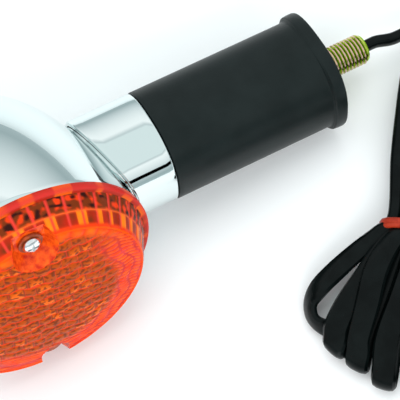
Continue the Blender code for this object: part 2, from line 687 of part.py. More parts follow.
def hank_outline(shrink):
    """The bundle's outline, anticlockwise: a narrow round end, a waist at the tie, a wide fanned end."""
    place, along, across = hank_frame()
    low = Vector(HANK_LOW)
    top = Vector(HANK_TOP)
    heading = math.atan2(along.y, along.x)
    side = HANK_TOP_R - shrink
    spread = math.atan2(side, (place - low).length)
    spread += math.acos(HANK_LOW_R / math.hypot(side + shrink, (place - low).length))
    outline = []
    for centre, radius, start, end in (
        (top, side, heading - math.pi / 2.0, heading + math.pi / 2.0),
        (low, HANK_LOW_R - shrink, heading + spread, heading - spread + 2.0 * math.pi),
    ):
        for i in range(17):
            angle = start + (end - start) * i / 16.0
            outline.append((centre.x + radius * math.cos(angle), centre.y + radius * math.sin(angle)))
        turn = 1.0 if centre is top else -1.0
        waist = place + across * (turn * side)
        outline.append((waist.x, waist.y))
    return outline


def hank_frame():
    """The tie's place on the hank's middle line, with the directions along and across the hank."""
    low = Vector(HANK_LOW)
    top = Vector(HANK_TOP)
    along = (top - low).normalized()
    across = Vector((-along.y, along.x))
    return low.lerp(top, TIE_AT), along, across


def tie_ring(offset, grow):
    """A rounded oblong around the bundle, on a plane across the hank."""
    place, along, across = hank_frame()
    middle = place + along * offset
    ring = []
    for angle in angles(32):
        wide = oval_reach((9.5 + grow, 4.4 + grow), 3.0, angle)
        point = middle + across * (wide * math.cos(angle))
        ring.append((point.x, point.y, HANK_HEIGHT / 2.0 + 0.1 + wide * math.sin(angle)))
    return ring


def make_hank(materials):
    """One solid around the folded lead, with a waist where the tie pulls it in."""
    bottom = [(x, y, 0.3) for x, y in hank_outline(1.2)]
    edge_low = [(x, y, 1.5) for x, y in hank_outline(0.0)]
    edge_high = [(x, y, HANK_HEIGHT - 2.0) for x, y in hank_outline(0.0)]
    top = [(x, y, HANK_HEIGHT) for x, y in hank_outline(2.0)]
    hank = solid("lead_hank", loft([bottom, edge_low, edge_high, top], closed=False), materials["lead"], None)
    half = TIE_WIDTH / 2.0 + 1.0
    waist = [tie_ring(-half, 0.0), tie_ring(-half, 60.0), tie_ring(half, 60.0), tie_ring(half, 0.0)]
    combine(hank, cutter("tie_waist", loft(waist, closed=True), None), "DIFFERENCE")


def make_tie(materials):
    half = TIE_WIDTH / 2.0
    rings = [tie_ring(-half, GAP), tie_ring(-half, GAP + TIE_THICK), tie_ring(half, GAP + TIE_THICK)]
    rings.append(tie_ring(half, GAP))
    solid("hank_tie", loft(rings, closed=True), materials["tie"], None)


def leave_hank(point, radius):
    """A point moved straight away from the hank's top until a tube end there clears the hank."""
    top = Vector(HANK_TOP)
    out = (Vector(point[:2]) - top).normalized()
    edge = top + out * (HANK_TOP_R + 2.0 * GAP)
    return (edge.x, edge.y, max(point[2], radius + 0.1)), (out.x, out.y, 0.0)


def make_lead(lying, materials):
    mouth = lying @ Vector((STUD_END + GAP + 0.1, STEM_Y, 0.0))
    axis = lying.to_3x3() @ Vector((1.0, 0.0, 0.0))
    end, out = leave_hank((154.0, 1.6, 5.4), LEAD_R)
    route = [tuple(mouth)] + list(LEAD_ROUTE) + [end]
    inward = (-out[0], -out[1], 0.0)
    tube("lead_tube", smooth_route(route, (axis, inward), 3), LEAD_R, materials["lead"], None, 3)


def make_tail(name, first, route, material, bullet_material):
    """A short wire that leaves the hank and ends in a bullet connector."""
    start, out = leave_hank(first, TAIL_R)
    heading = (Vector(route[-1]) - Vector(route[-2])).normalized()
    curve = smooth_route([start] + list(route), (out, heading), 3)
    tube(f"lead_tail_{name}", curve, TAIL_R, material, None)
    place = Vector(route[-1])
    side = heading.cross(Vector((0.0, 0.0, 1.0))).normalized()
    profile = [(0.0, GAP), (1.15, GAP), (1.15, 7.0), (0.95, 7.2), (0.95, 9.0), (1.25, 10.4), (1.25, 13.0)]
    profile += [(0.9, 14.6), (0.0, 15.0)]
    points, faces = turned(profile, 16)
    placed = [place + side * x + heading * y + Vector((0.0, 0.0, 1.0)) * (z + 0.1) for x, y, z in points]
    solid(f"bullet_{name}", (placed, faces), bullet_material, None)


# ---------------------------------------------------------------- the whole object

def clear_scene():
    for thing in list(bpy.data.objects):
        bpy.data.objects.remove(thing, do_unlink=True)


def centre_on_base(cord_names):
    """Moves everything sideways so that the box of the object without its cord is centred on the origin."""
    bpy.context.view_layer.update()
    graph = bpy.context.evaluated_depsgraph_get()
    corners = []
    for thing in bpy.data.objects:
        if thing.type == "EMPTY" or thing.hide_render or thing.name in cord_names:
            continue
        mesh = thing.evaluated_get(graph).to_mesh()
        corners += [thing.matrix_world @ v.co for v in mesh.vertices]
        thing.evaluated_get(graph).to_mesh_clear()
    low = Vector([min(c[k] for c in corners) for k in range(3)])
    high = Vector([max(c[k] for c in corners) for k in range(3)])
    shift = Vector((-(low.x + high.x) / 2.0, -(low.y + high.y) / 2.0, -low.z))
    for thing in bpy.data.objects:
        if thing.parent is None:
            thing.location += shift
    bpy.context.view_layer.update()


def main():
    clear_scene()
    materials = make_materials()
    turn, drop = lying_matrix()
    lying = Matrix.Translation((0.0, 0.0, -drop)) @ turn
    lamp = empty("lamp_frame", (0.0, 0.0, 0.0))
    lamp.matrix_world = Matrix.Translation((0.0, 0.0, -drop * MM)) @ turn

    flex = empty("flex_axis", (FLEX_X, STEM_Y, 0.0), lamp)
    head = empty("head_frame", (-FLEX_X, -STEM_Y, 0.0), flex)
    make_housing(head, materials)
    make_collar(head, materials)
    make_gasket(head, materials)
    make_stem_bolt(head, materials)
    make_stem_washer(head, materials)
    make_stem_nut(head, materials)
    make_reflector(head, materials)
    make_socket(head, materials)
    make_socket_screw("socket_screw_right", 12.4, 33.1, head, materials)
    make_socket_screw("socket_screw_left", -12.4, 32.0, head, materials)
    make_ground_terminal(head, materials)
    make_contact_spring(head, materials)
    make_inner_wires(head, materials)

    lens_slide = empty("lens_slide", (0.0, 0.0, 0.0), head)
    make_lens(lens_slide, materials)
    for side_name, sign in (("top", 1.0), ("bottom", -1.0)):
        axis = empty(f"screw_axis_{side_name}", (0.0, 0.0, sign * SCREW_Z), lens_slide)
        make_lens_screw(side_name, sign, axis, materials)
        make_lens_washer(side_name, sign, lens_slide, materials)

    push = empty("bulb_push_axis", (0.0, PIN_Y, 0.0), head)
    make_contact(push, (0.0, PIN_Y, 0.0), materials)
    twist = empty("bulb_twist_axis", (0.0, 0.0, 0.0), push)
    make_bulb(twist, (0.0, PIN_Y, 0.0), materials)

    make_stem_rubber(lamp, materials)
    make_mounting_stud(lamp, materials)

    make_lead(lying, materials)
    make_hank(materials)
    make_tie(materials)
    make_tail("signal", (151.5, -7.0, 3.6), SIGNAL_TAIL_ROUTE, materials["wire_signal"], materials["bullet"])
    make_tail("ground", (153.3, -4.4, 3.6), GROUND_TAIL_ROUTE, materials["wire_ground"], materials["bullet"])
    cord = {"lead_tube", "lead_hank", "hank_tie", "lead_tail_signal", "lead_tail_ground"}
    centre_on_base(cord | {"bullet_signal", "bullet_ground"})


main()
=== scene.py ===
"""Looks of the motorcycle turn signal: camera, light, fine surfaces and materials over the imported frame."""

import json
import math

import bmesh
import bpy
from mathutils import Matrix, Vector, noise


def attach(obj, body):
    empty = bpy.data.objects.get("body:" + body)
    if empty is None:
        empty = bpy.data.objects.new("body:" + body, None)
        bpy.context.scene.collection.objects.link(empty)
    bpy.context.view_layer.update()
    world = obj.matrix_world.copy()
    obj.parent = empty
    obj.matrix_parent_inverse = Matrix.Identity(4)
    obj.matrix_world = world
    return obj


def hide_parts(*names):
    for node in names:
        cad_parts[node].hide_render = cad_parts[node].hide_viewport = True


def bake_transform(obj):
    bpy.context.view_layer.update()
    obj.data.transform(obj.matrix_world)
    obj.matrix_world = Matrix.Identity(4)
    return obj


MM = 0.001

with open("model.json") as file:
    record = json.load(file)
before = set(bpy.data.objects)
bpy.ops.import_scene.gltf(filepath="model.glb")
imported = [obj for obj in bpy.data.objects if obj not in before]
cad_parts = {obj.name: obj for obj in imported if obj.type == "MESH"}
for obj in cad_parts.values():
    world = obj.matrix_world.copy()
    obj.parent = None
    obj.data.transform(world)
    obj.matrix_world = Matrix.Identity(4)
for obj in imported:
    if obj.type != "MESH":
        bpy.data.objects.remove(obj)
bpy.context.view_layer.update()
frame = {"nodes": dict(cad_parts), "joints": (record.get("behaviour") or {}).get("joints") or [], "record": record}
NODES = frame["nodes"]
joints = {joint["name"]: joint for joint in frame["joints"]}
mounts = {mount["name"]: mount for mount in frame["record"]["mounts"]}

# The lamp's own frame, in which the lens faces -Y and the stem runs along +X. Its numbers are millimetres from the
# middle of the lens's rim: the stem's line, its hinge, and the part of it that bends.
STEM_Y = 22.5
HINGE_X = 83.0

LAMP_X = Vector(mounts["flange_face"]["axis"]).normalized()
LAMP_Y = Vector(joints["stem_flex"]["axis"]).normalized()
LAMP_Z = LAMP_X.cross(LAMP_Y)
LAMP_O = Vector(joints["stem_flex"]["pos_m"]) - (LAMP_X * HINGE_X + LAMP_Y * STEM_Y) * MM
LAMP = Matrix((LAMP_X, LAMP_Y, LAMP_Z)).transposed().to_4x4()
LAMP.translation = LAMP_O

# The table's frame, level with the floor, for the lead and the camera.
TABLE_O = Vector((LAMP_O.x, LAMP_O.y, 0.0))
TABLE = Matrix.Translation(TABLE_O)


def lamp_point(x, y, z):
    return LAMP @ (Vector((x, y, z)) * MM)


def table_point(x, y, z):
    return TABLE_O + Vector((x, y, z)) * MM


def link(thing):
    bpy.context.scene.collection.objects.link(thing)


# ---------------- camera and light

CAMERA_AT = (8.476, -247.696, 631.358)
CAMERA_AIM = (55.75, -7.09, 41.16)
CAMERA_ROLL_DEG = -18.99

camera_data = bpy.data.cameras.new("camera")
camera_data.lens = 190.9
camera_data.sensor_width = 36.0
camera = bpy.data.objects.new("camera", camera_data)
link(camera)
look = (table_point(*CAMERA_AIM) - table_point(*CAMERA_AT)).normalized()
roll = Matrix.Rotation(math.radians(CAMERA_ROLL_DEG), 4, "Z")
turn = look.to_track_quat("-Z", "Y").to_matrix().to_4x4() @ roll
camera.matrix_world = Matrix.Translation(table_point(*CAMERA_AT)) @ turn
bpy.context.scene.camera = camera


def area_light(name, place, aim, size, power):
    """A soft light that reflections don't show."""
    data = bpy.data.lights.new(name, "AREA")
    data.shape = "RECTANGLE"
    data.size = size[0]
    data.size_y = size[1]
    data.energy = power
    light = bpy.data.objects.new(name, data)
    link(light)
    light.location = place
    light.visible_glossy = False
    light.rotation_euler = (Vector(aim) - Vector(place)).to_track_quat("-Z", "Y").to_euler()


area_light("key", (-0.15, -0.75, 0.62), (0.0, 0.0, 0.02), (0.9, 0.42), 4.0)
area_light("top", (0.05, 0.15, 1.0), (0.02, 0.0, 0.0), (0.9, 0.7), 3.2)

# (height, colour) stops of the studio around the lamp, from the horizon up.
SKY = (
    (0.0, (0.34, 0.40, 0.41)),
    (0.10, (0.30, 0.36, 0.37)),
    (0.40, (0.56, 0.60, 0.61)),
    (0.70, (0.80, 0.81, 0.81)),
    (0.755, (0.47, 0.52, 0.53)),
    (0.78, (0.61, 0.67, 0.67)),
)
SKY_STRENGTH = 1.45

world = bpy.data.worlds.new("studio")
world.use_nodes = True
bpy.context.scene.world = world
bpy.context.scene.view_settings.view_transform = "Standard"
sky = world.node_tree
sky_place = sky.nodes.new("ShaderNodeTexCoord")
sky_split = sky.nodes.new("ShaderNodeSeparateXYZ")
sky_ramp = sky.nodes.new("ShaderNodeValToRGB")
while len(sky_ramp.color_ramp.elements) < len(SKY):
    sky_ramp.color_ramp.elements.new(0.5)
for element, (position, colour) in zip(sky_ramp.color_ramp.elements, SKY):
    element.position = position
    element.color = (*colour, 1.0)
sky.links.new(sky_place.outputs["Generated"], sky_split.inputs["Vector"])
sky.links.new(sky_split.outputs["Z"], sky_ramp.inputs["Fac"])
sky.links.new(sky_ramp.outputs["Color"], sky.nodes["Background"].inputs["Color"])
sky.nodes["Background"].inputs["Strength"].default_value = SKY_STRENGTH


def dark_card(name, direction, distance, size):
    """A black card that only reflections show, square to the lamp."""
    aim = Vector(direction).normalized()
    side = Vector((0.0, 0.0, 1.0)).cross(aim).normalized()
    up = aim.cross(side)
    middle = LAMP_O + aim * distance
    across, upward = side * (size[0] / 2), up * (size[1] / 2)
    corners = [middle + across * a + upward * b for a, b in ((-1, -1), (1, -1), (1, 1), (-1, 1))]
    mesh = bpy.data.meshes.new(name)
    mesh.from_pydata(corners, [], [(0, 1, 2, 3)])
    material = bpy.data.materials.new(name)
    material.use_nodes = True
    shader = material.node_tree.nodes["Principled BSDF"]
    shader.inputs["Base Color"].default_value = (0.0, 0.0, 0.0, 1.0)
    shader.inputs["Specular IOR Level"].default_value = 0.0
    mesh.materials.append(material)
    card = bpy.data.objects.new(name, mesh)
    link(card)
    card.visible_camera = False
    card.visible_diffuse = False
    card.visible_shadow = False


dark_card("card_front", (0.29, -0.90, 0.33), 0.6, (0.5, 0.09))


# ---------------- materials

def node_material(name, colour, roughness, metallic=0.0, **inputs):
    """A Principled material. inputs are further sockets, such as Coat_Weight=0.3."""
    material = bpy.data.materials.new(name)
    material.use_nodes = True
    shader = material.node_tree.nodes["Principled BSDF"]
    shader.inputs["Base Color"].default_value = (*colour, 1.0)
    shader.inputs["Roughness"].default_value = roughness
    shader.inputs["Metallic"].default_value = metallic
    for key, value in inputs.items():
        shader.inputs[key.replace("_", " ")].default_value = value
    return material


def add_grain(material, scale, strength, distance=0.0001, detail=3.0):
    """Fine bump from noise, its scale per metre, in the object's own coordinates."""
    tree = material.node_tree
    place = tree.nodes.new("ShaderNodeTexCoord")
    grain = tree.nodes.new("ShaderNodeTexNoise")
    grain.inputs["Scale"].default_value = scale
    grain.inputs["Detail"].default_value = detail
    bump = tree.nodes.new("ShaderNodeBump")
    bump.inputs["Strength"].default_value = strength
    bump.inputs["Distance"].default_value = distance
    tree.links.new(place.outputs["Object"], grain.inputs["Vector"])
    tree.links.new(grain.outputs["Fac"], bump.inputs["Height"])
    tree.links.new(bump.outputs["Normal"], tree.nodes["Principled BSDF"].inputs["Normal"])


def add_mottle(material, scale, low, high, socket="Base Color"):
    """A socket that varies between two values with noise."""
    tree = material.node_tree
    shader = tree.nodes["Principled BSDF"]
    place = tree.nodes.new("ShaderNodeTexCoord")
    spots = tree.nodes.new("ShaderNodeTexNoise")
    spots.inputs["Scale"].default_value = scale
    spots.inputs["Detail"].default_value = 4.0
    ramp = tree.nodes.new("ShaderNodeValToRGB")
    ramp.color_ramp.elements[0].position = 0.35
    ramp.color_ramp.elements[1].position = 0.65
    ramp.color_ramp.elements[0].color = (*low, 1.0)
    ramp.color_ramp.elements[1].color = (*high, 1.0)
    tree.links.new(place.outputs["Object"], spots.inputs["Vector"])
    tree.links.new(spots.outputs["Fac"], ramp.inputs["Fac"])
    tree.links.new(ramp.outputs["Color"], shader.inputs[socket])


chrome = node_material("chrome", (0.72, 0.80, 0.80), 0.05, metallic=1.0)
add_mottle(chrome, 60.0, (0.03,) * 3, (0.06,) * 3, "Roughness")
add_grain(chrome, 30.0, 0.03, 0.0001, 1.0)

rubber = node_material("stem_rubber", (0.004, 0.008, 0.008), 0.42, Specular_IOR_Level=0.2)
add_mottle(rubber, 90.0, (0.003, 0.007, 0.007), (0.006, 0.011, 0.011))
add_grain(rubber, 1800.0, 0.35, 0.0001, 2.0)

gasket = node_material("gasket_foam", (0.03, 0.03, 0.032), 0.85)
add_mottle(gasket, 700.0, (0.02, 0.02, 0.022), (0.045, 0.045, 0.048))
add_grain(gasket, 2500.0, 0.8, 0.0001)

washer = node_material("washer_soft", (0.30, 0.045, 0.008), 0.4)
add_mottle(washer, 500.0, (0.16, 0.022, 0.006), (0.42, 0.07, 0.01))
add_grain(washer, 1500.0, 0.3, 0.0001)

steel = node_material("zinc_plate", (0.60, 0.61, 0.62), 0.32, metallic=1.0)
add_mottle(steel, 300.0, (0.25,) * 3, (0.42,) * 3, "Roughness")
add_grain(steel, 900.0, 0.12, 0.0001)

bright = node_material("bright_screw", (0.80, 0.82, 0.83), 0.16, metallic=1.0)
add_mottle(bright, 500.0, (0.12,) * 3, (0.26,) * 3, "Roughness")
add_grain(bright, 1200.0, 0.08, 0.0001)

brass = node_material("brass", (0.72, 0.55, 0.22), 0.28, metallic=1.0)
add_mottle(brass, 200.0, (0.66, 0.48, 0.18), (0.78, 0.62, 0.28))
add_grain(brass, 900.0, 0.1, 0.0001)

solder = node_material("solder", (0.62, 0.62, 0.60), 0.38, metallic=1.0)
add_mottle(solder, 700.0, (0.5, 0.5, 0.49), (0.7, 0.7, 0.68))
add_grain(solder, 900.0, 0.4, 0.0002)

fibre = node_material("fibre_board", (0.35, 0.20, 0.12), 0.7)
add_mottle(fibre, 600.0, (0.26, 0.14, 0.08), (0.42, 0.25, 0.15))
add_grain(fibre, 2500.0, 0.5, 0.0001)

reflector_metal = node_material("reflector_bright", (0.88, 0.89, 0.89), 0.10, metallic=1.0)
add_mottle(reflector_metal, 80.0, (0.07,) * 3, (0.16,) * 3, "Roughness")
add_grain(reflector_metal, 150.0, 0.05, 0.0002)

bulb_clear = node_material("bulb_glass", (0.98, 0.99, 0.99), 0.02, Transmission_Weight=1.0, IOR=1.45)
add_mottle(bulb_clear, 120.0, (0.015,) * 3, (0.04,) * 3, "Roughness")

tungsten = node_material("tungsten", (0.22, 0.22, 0.23), 0.4, metallic=1.0)
add_mottle(tungsten, 900.0, (0.16, 0.16, 0.17), (0.28, 0.28, 0.29))

vinyl = node_material("lead_vinyl", (0.002, 0.004, 0.004), 0.27, Specular_IOR_Level=0.11)
add_mottle(vinyl, 140.0, (0.001, 0.002, 0.002), (0.003, 0.005, 0.005))
add_grain(vinyl, 160.0, 0.15, 0.0004, 2.0)

signal_vinyl = node_material("signal_vinyl", (0.55, 0.20, 0.03), 0.35, Coat_Weight=0.3)
add_mottle(signal_vinyl, 250.0, (0.48, 0.16, 0.02), (0.60, 0.24, 0.04))
add_grain(signal_vinyl, 900.0, 0.15, 0.0001)

ground_vinyl = node_material("ground_vinyl", (0.02, 0.02, 0.02), 0.35, Coat_Weight=0.3)
add_mottle(ground_vinyl, 250.0, (0.012, 0.012, 0.012), (0.03, 0.03, 0.03))
add_grain(ground_vinyl, 900.0, 0.15, 0.0001)

tie_vinyl = node_material("tie_vinyl", (0.36, 0.025, 0.008), 0.4, Specular_IOR_Level=0.25)
add_mottle(tie_vinyl, 260.0, (0.26, 0.016, 0.006), (0.46, 0.040, 0.012))
add_grain(tie_vinyl, 700.0, 0.2, 0.0002)


def ramp_from_attribute(material, attribute, stops):
    """Colours a surface from a value stored on its points."""
    tree = material.node_tree
    value = tree.nodes.new("ShaderNodeAttribute")
    value.attribute_name = attribute
    ramp = tree.nodes.new("ShaderNodeValToRGB")
    elements = ramp.color_ramp.elements
    while len(elements) < len(stops):
        elements.new(0.5)
    for element, (position, colour) in zip(elements, stops):
        element.position = position
        element.color = (*colour, 1.0)
    tree.links.new(value.outputs["Fac"], ramp.inputs["Fac"])
    tree.links.new(ramp.outputs["Color"], tree.nodes["Principled BSDF"].inputs["Base Color"])


zinc = node_material("yellow_zinc", (0.42, 0.46, 0.10), 0.25, metallic=1.0)
# From the thread's root to its crest. The near-black root is painted shade in the grooves; the greens and the pinkish
# crest are the plating's own colours.
ZINC_AND_SHADE_STOPS = (
    (0.0, (0.05, 0.06, 0.01)),
    (0.35, (0.30, 0.50, 0.02)),
    (0.7, (0.50, 0.62, 0.06)),
    (1.0, (0.70, 0.48, 0.34)),
)
ramp_from_attribute(zinc, "shade", ZINC_AND_SHADE_STOPS)
add_grain(zinc, 1500.0, 0.15, 0.0001)


def painted_light_plastic(name, roughness, specular):
    """Plastic whose colour is stored on its points: amber, with painted light and shade for how its prisms bend
    light from what is behind them.
    """
    material = node_material(name, (0.8, 0.1, 0.01), roughness, Specular_IOR_Level=specular)
    tree = material.node_tree
    value = tree.nodes.new("ShaderNodeAttribute")
    value.attribute_name = "tint_and_painted_light"
    shader = tree.nodes["Principled BSDF"]
    tree.links.new(value.outputs["Color"], shader.inputs["Base Color"])
    shader.inputs["Coat Weight"].default_value = 0.05
    shader.inputs["Coat Roughness"].default_value = 0.04
    return material


amber = painted_light_plastic("amber_lens", 0.22, 0.04)
amber_pocket = node_material(
    "amber_pocket", (0.90, 0.06, 0.006), 0.18, Specular_IOR_Level=0.12, Coat_Weight=0.15, Coat_Roughness=0.05,
)
add_mottle(amber_pocket, 420.0, (0.55, 0.022, 0.004), (1.0, 0.12, 0.008))
add_grain(amber_pocket, 300.0, 0.25, 0.0004, 1.0)


# ---------------- building

def oval_reach(size, power, angle):
    """How far a superellipse reaches at an angle."""
    across = abs(math.cos(angle)) / size[0]
    upward = abs(math.sin(angle)) / size[1]
    return (across**power + upward**power) ** (-1.0 / power)


def angles(count):
    return [2.0 * math.pi * i / count for i in range(count)]


def stem_ring(x, size, power=2.3, count=144):
    """An oval ring about the stem's line, at x or at x(angle)."""
    ring = []
    for angle in angles(count):
        reach = oval_reach(size, power, angle)
        here = x(angle) if callable(x) else x
        ring.append((here, STEM_Y + reach * math.cos(angle), reach * math.sin(angle)))
    return ring


def loft(rings, closed=False, caps=True):
    """Points and faces over rings of the same length. A closed loft joins its last ring to its first."""
    count = len(rings[0])
    points = [point for ring in rings for point in ring]
    faces = []
    pairs = len(rings) if closed else len(rings) - 1
    for r in range(pairs):
        first = r * count
        second = ((r + 1) % len(rings)) * count
        for i in range(count):
            j = (i + 1) % count
            faces.append((first + i, first + j, second + j, second + i))
    if caps and not closed:
        faces.append(tuple(range(count)))
        faces.append(tuple(range(len(points) - count, len(points))))
    return points, faces


def row_faces(rows, count, closed=False):
    """Faces between rows of point numbers. A row of one point is a pole."""
    faces = []
    for r in range(len(rows) if closed else len(rows) - 1):
        a, b = rows[r], rows[(r + 1) % len(rows)]
        for i in range(count):
            j = (i + 1) % count
            corners = (a[i % len(a)], a[j % len(a)], b[j % len(b)], b[i % len(b)])
            face = tuple(dict.fromkeys(corners))
            if len(face) > 2:
                faces.append(face)
    return faces


def turned(profile, count=96, centre=(0.0, 0.0, 0.0), closed=False):
    """Turns (radius, y) points about a line along the lamp's Y. An open profile starts and ends on it."""
    points, rows = [], []
    for radius, y in profile:
        steps = angles(count) if radius > 1e-6 else [0.0]
        rows.append(list(range(len(points), len(points) + len(steps))))
        for a in steps:
            points.append((centre[0] + radius * math.cos(a), centre[1] + y, centre[2] + radius * math.sin(a)))
    return points, row_faces(rows, count, closed)


def rounded(corners, radius, steps=5):
    """A profile with its inner corners rounded. Each corner is (radius, y) or (radius, y, own rounding)."""
    made = [corners[0][:2]]
    for before, here, after in zip(corners, corners[1:], corners[2:]):
        own = here[2] if len(here) > 2 else radius
        a, b, c = (Vector(p[:2]) for p in (before, here, after))
        reach = min(own, (a - b).length * 0.45, (c - b).length * 0.45)
        start = b + (a - b).normalized() * reach
        end = b + (c - b).normalized() * reach
        for i in range(steps + 1):
            t = i / steps
            made.append(tuple(start * (1 - t) ** 2 + b * 2 * t * (1 - t) + end * t**2))
    return made + [corners[-1][:2]]


def solid_mesh(name, shape, place):
    """A mesh from points in a frame's millimetres, with its faces turned outward."""
    points, faces = shape
    mesh = bpy.data.meshes.new(name)
    mesh.from_pydata([place @ (Vector(p) * MM) for p in points], [], faces)
    work = bmesh.new()
    work.from_mesh(mesh)
    bmesh.ops.recalc_face_normals(work, faces=work.faces)
    work.to_mesh(mesh)
    work.free()
    return mesh


def piece(
    name, shape, material, body, node_names=(), place=LAMP, sharp_deg=38.0, shade=None, tint_and_painted_light=None,
):
    """A piece of the object. Its two optional lists give each point a value or a colour that its material reads,
    painted light and shade among them.
    """
    mesh = solid_mesh(name, shape, place)
    if shade:
        values = mesh.attributes.new("shade", "FLOAT", "POINT")
        for item, value in zip(values.data, shade):
            item.value = value
    if tint_and_painted_light:
        colours = mesh.attributes.new("tint_and_painted_light", "FLOAT_COLOR", "POINT")
        for item, colour in zip(colours.data, tint_and_painted_light):
            item.color = (*colour, 1.0)
    mesh.shade_smooth()
    mesh.set_sharp_from_angle(angle=math.radians(sharp_deg))
    mesh.materials.append(material)
    thing = bpy.data.objects.new(name, mesh)
    link(thing)
    if node_names:
        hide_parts(*node_names)
    if body:
        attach(thing, body)
    return thing


def cut(thing, shape, material=None):
    """Cuts a shape out of a piece and keeps the result as its mesh. material is for the faces it leaves."""
    mesh = solid_mesh("cutter", shape, LAMP)
    if material:
        mesh.materials.append(material)
    tool = bpy.data.objects.new("cutter", mesh)
    link(tool)
    change = thing.modifiers.new("cut", "BOOLEAN")
    change.operation = "DIFFERENCE"
    change.object = tool
    change.solver = "EXACT"
    if material:
        change.material_mode = "TRANSFER"
    bpy.context.view_layer.update()
    graph = bpy.context.evaluated_depsgraph_get()
    result = bpy.data.meshes.new_from_object(thing.evaluated_get(graph))
    thing.modifiers.remove(change)
    thing.data = result
    bpy.data.objects.remove(tool)


def refinish(node_name, material):
    """Gives a CAD node that stays in view its material."""
    NODES[node_name].data.materials.clear()
    NODES[node_name].data.materials.append(material)


def blend_rows(rows, t):
    """A smooth value between rows of numbers: a Catmull-Rom curve through them, at row number t."""
    i = min(int(t), len(rows) - 2)
    s = t - i
    a = rows[max(i - 1, 0)]
    b = rows[i]
    c = rows[i + 1]
    d = rows[min(i + 2, len(rows) - 1)]
    return [
        0.5 * (2 * q + (r - p) * s + (2 * p - 5 * q + 4 * r - w) * s * s + (3 * q - p - 3 * r + w) * s**3)
        for p, q, r, w in zip(a, b, c, d)
    ]


def cross_axes(before, after, side):
    """Two unit vectors across a path between two points, the first one near side."""
    ahead = (Vector(after) - Vector(before)).normalized()
    side = (side - ahead * side.dot(ahead)).normalized()
    return side, ahead.cross(side)


def flexible_tube(name, rows, material, body, nodes, step=1.0, count=20, power=2.5):
    """A tube along rows of (x, y, z, side x, side y, side z, half width, half thickness), its path and its length."""
    fine = [blend_rows(rows, i / 24.0) for i in range(24 * (len(rows) - 1) + 1)]
    kept = [fine[0]]
    for row in fine[1:]:
        if (Vector(row[:3]) - Vector(kept[-1][:3])).length >= step:
            kept.append(row)
    kept[-1] = fine[-1]
    rings = []
    for i, row in enumerate(kept):
        here = Vector(row[:3])
        before, after = kept[max(i - 1, 0)], kept[min(i + 1, len(kept) - 1)]
        side, out = cross_axes(before[:3], after[:3], Vector(row[3:6]))
        ring = []
        for angle in angles(count):
            reach = oval_reach((row[6], row[7]), power, angle)
            ring.append(tuple(here + side * (reach * math.cos(angle)) + out * (reach * math.sin(angle))))
        rings.append(ring)
    made = piece(name, loft(rings), material, body, nodes, place=TABLE)
    path = [tuple(table_point(*row[:3])) for row in kept]
    length = sum((Vector(b) - Vector(a)).length for a, b in zip(path, path[1:]))
    return made, path, length


# ---------------- the lead and its hank

# The hank lies along a line on the table. Places in it are (along, across, height) from its tie, and routes are
# (x, y, height) on the table.
HANK_LOW = Vector((97.0, -57.0))
HANK_TOP = Vector((142.5, 1.5))
TIE_AT = 0.37
HANK_ALONG = (HANK_TOP - HANK_LOW).normalized()
HANK_ACROSS = Vector((-HANK_ALONG.y, HANK_ALONG.x))
HANK_TIE = HANK_LOW.lerp(HANK_TOP, TIE_AT)
MOUTH_X = 131.2
LEAD_ROUTE = (
    (139.0, 21.2, 11.3), (148.0, 22.6, 8.4), (158.0, 26.6, 6.0), (168.0, 28.6, 4.1), (178.0, 26.4, 3.7),
    (186.0, 19.6, 3.7), (188.0, 10.0, 3.7), (182.0, 2.4, 3.8), (172.0, -0.4, 4.2), (162.0, 1.6, 5.0),
)
SIGNAL_TAIL_ROUTE = (
    (149.0, -7.6, 3.7), (150.9, -6.9, 3.6), (153.8, -10.4, 2.8), (154.6, -16.0, 1.4), (152.5, -24.0, 1.2),
    (148.0, -33.0, 1.2), (142.5, -42.0, 1.2), (138.0, -50.0, 1.2),
)
GROUND_TAIL_ROUTE = (
    (149.6, -5.6, 3.7), (152.4, -4.6, 3.6), (157.0, -7.6, 3.0), (160.5, -14.0, 1.4), (160.0, -23.0, 1.2),
    (156.0, -33.0, 1.2), (151.0, -43.0, 1.2), (146.5, -52.0, 1.2),
)

# (half width, half thickness) of the sleeve where it is flat, squeezed by the tie, and above the tie.
FLAT = (3.85, 1.6)
TIED = (1.95, 2.05)
TOPPED = (2.1, 1.9)
SIDEWAYS = (0.0, -1.0)
SPREAD_U = 20.0
STRAIGHT_U = 38.0


def hank_row(u, v, z, side, section):
    """A row of the sleeve at a place in the hank. side is the way that the sleeve's width lies."""
    place = HANK_TIE + HANK_ALONG * u + HANK_ACROSS * v
    across = HANK_ALONG * side[0] + HANK_ACROSS * side[1]
    return (place.x, place.y, z, across.x, across.y, side[2] if len(side) > 2 else 0.0, *section)


def lead_rows():
    """The sleeve from the stud's mouth to the hank. It leaves on its edge and rolls over until it lies flat."""
    mouth = tuple((lamp_point(MOUTH_X, STEM_Y, 0.0) - TABLE_O) / MM)
    rows = [(*mouth, 0.0, 0.0, 1.0, 2.5, 1.7)]
    near = Vector(mouth) + Vector(LAMP_X) * 4.0
    rows.append((*near, 0.0, 0.0, 1.0, 2.5, 1.7))
    route = [Vector(p) for p in LEAD_ROUTE]
    for i, place in enumerate(route):
        behind = route[i - 1] if i else near
        ahead = route[i + 1] if i + 1 < len(route) else Vector((154.0, 1.2, 6.5))
        level = Vector((0.0, 0.0, 1.0)).cross(ahead - behind).normalized()
        laid = min(1.0, max(0.0, (i - 1) / 3.0))
        side = (level * laid + Vector((0.0, 0.0, 1.0)) * (1.0 - laid)).normalized()
        rows.append((*place, *side, 2.6 + 0.8 * laid, 1.7))
    rows.append((155.0, 1.0, 6.6, 0.45, -0.85, 0.0, 2.8, 1.9))
    rows.append(hank_row(47.5, -8.2, 8.6, SIDEWAYS, TOPPED))
    rows.append(hank_row(40.0, -8.4, 9.2, SIDEWAYS, TOPPED))
    return rows


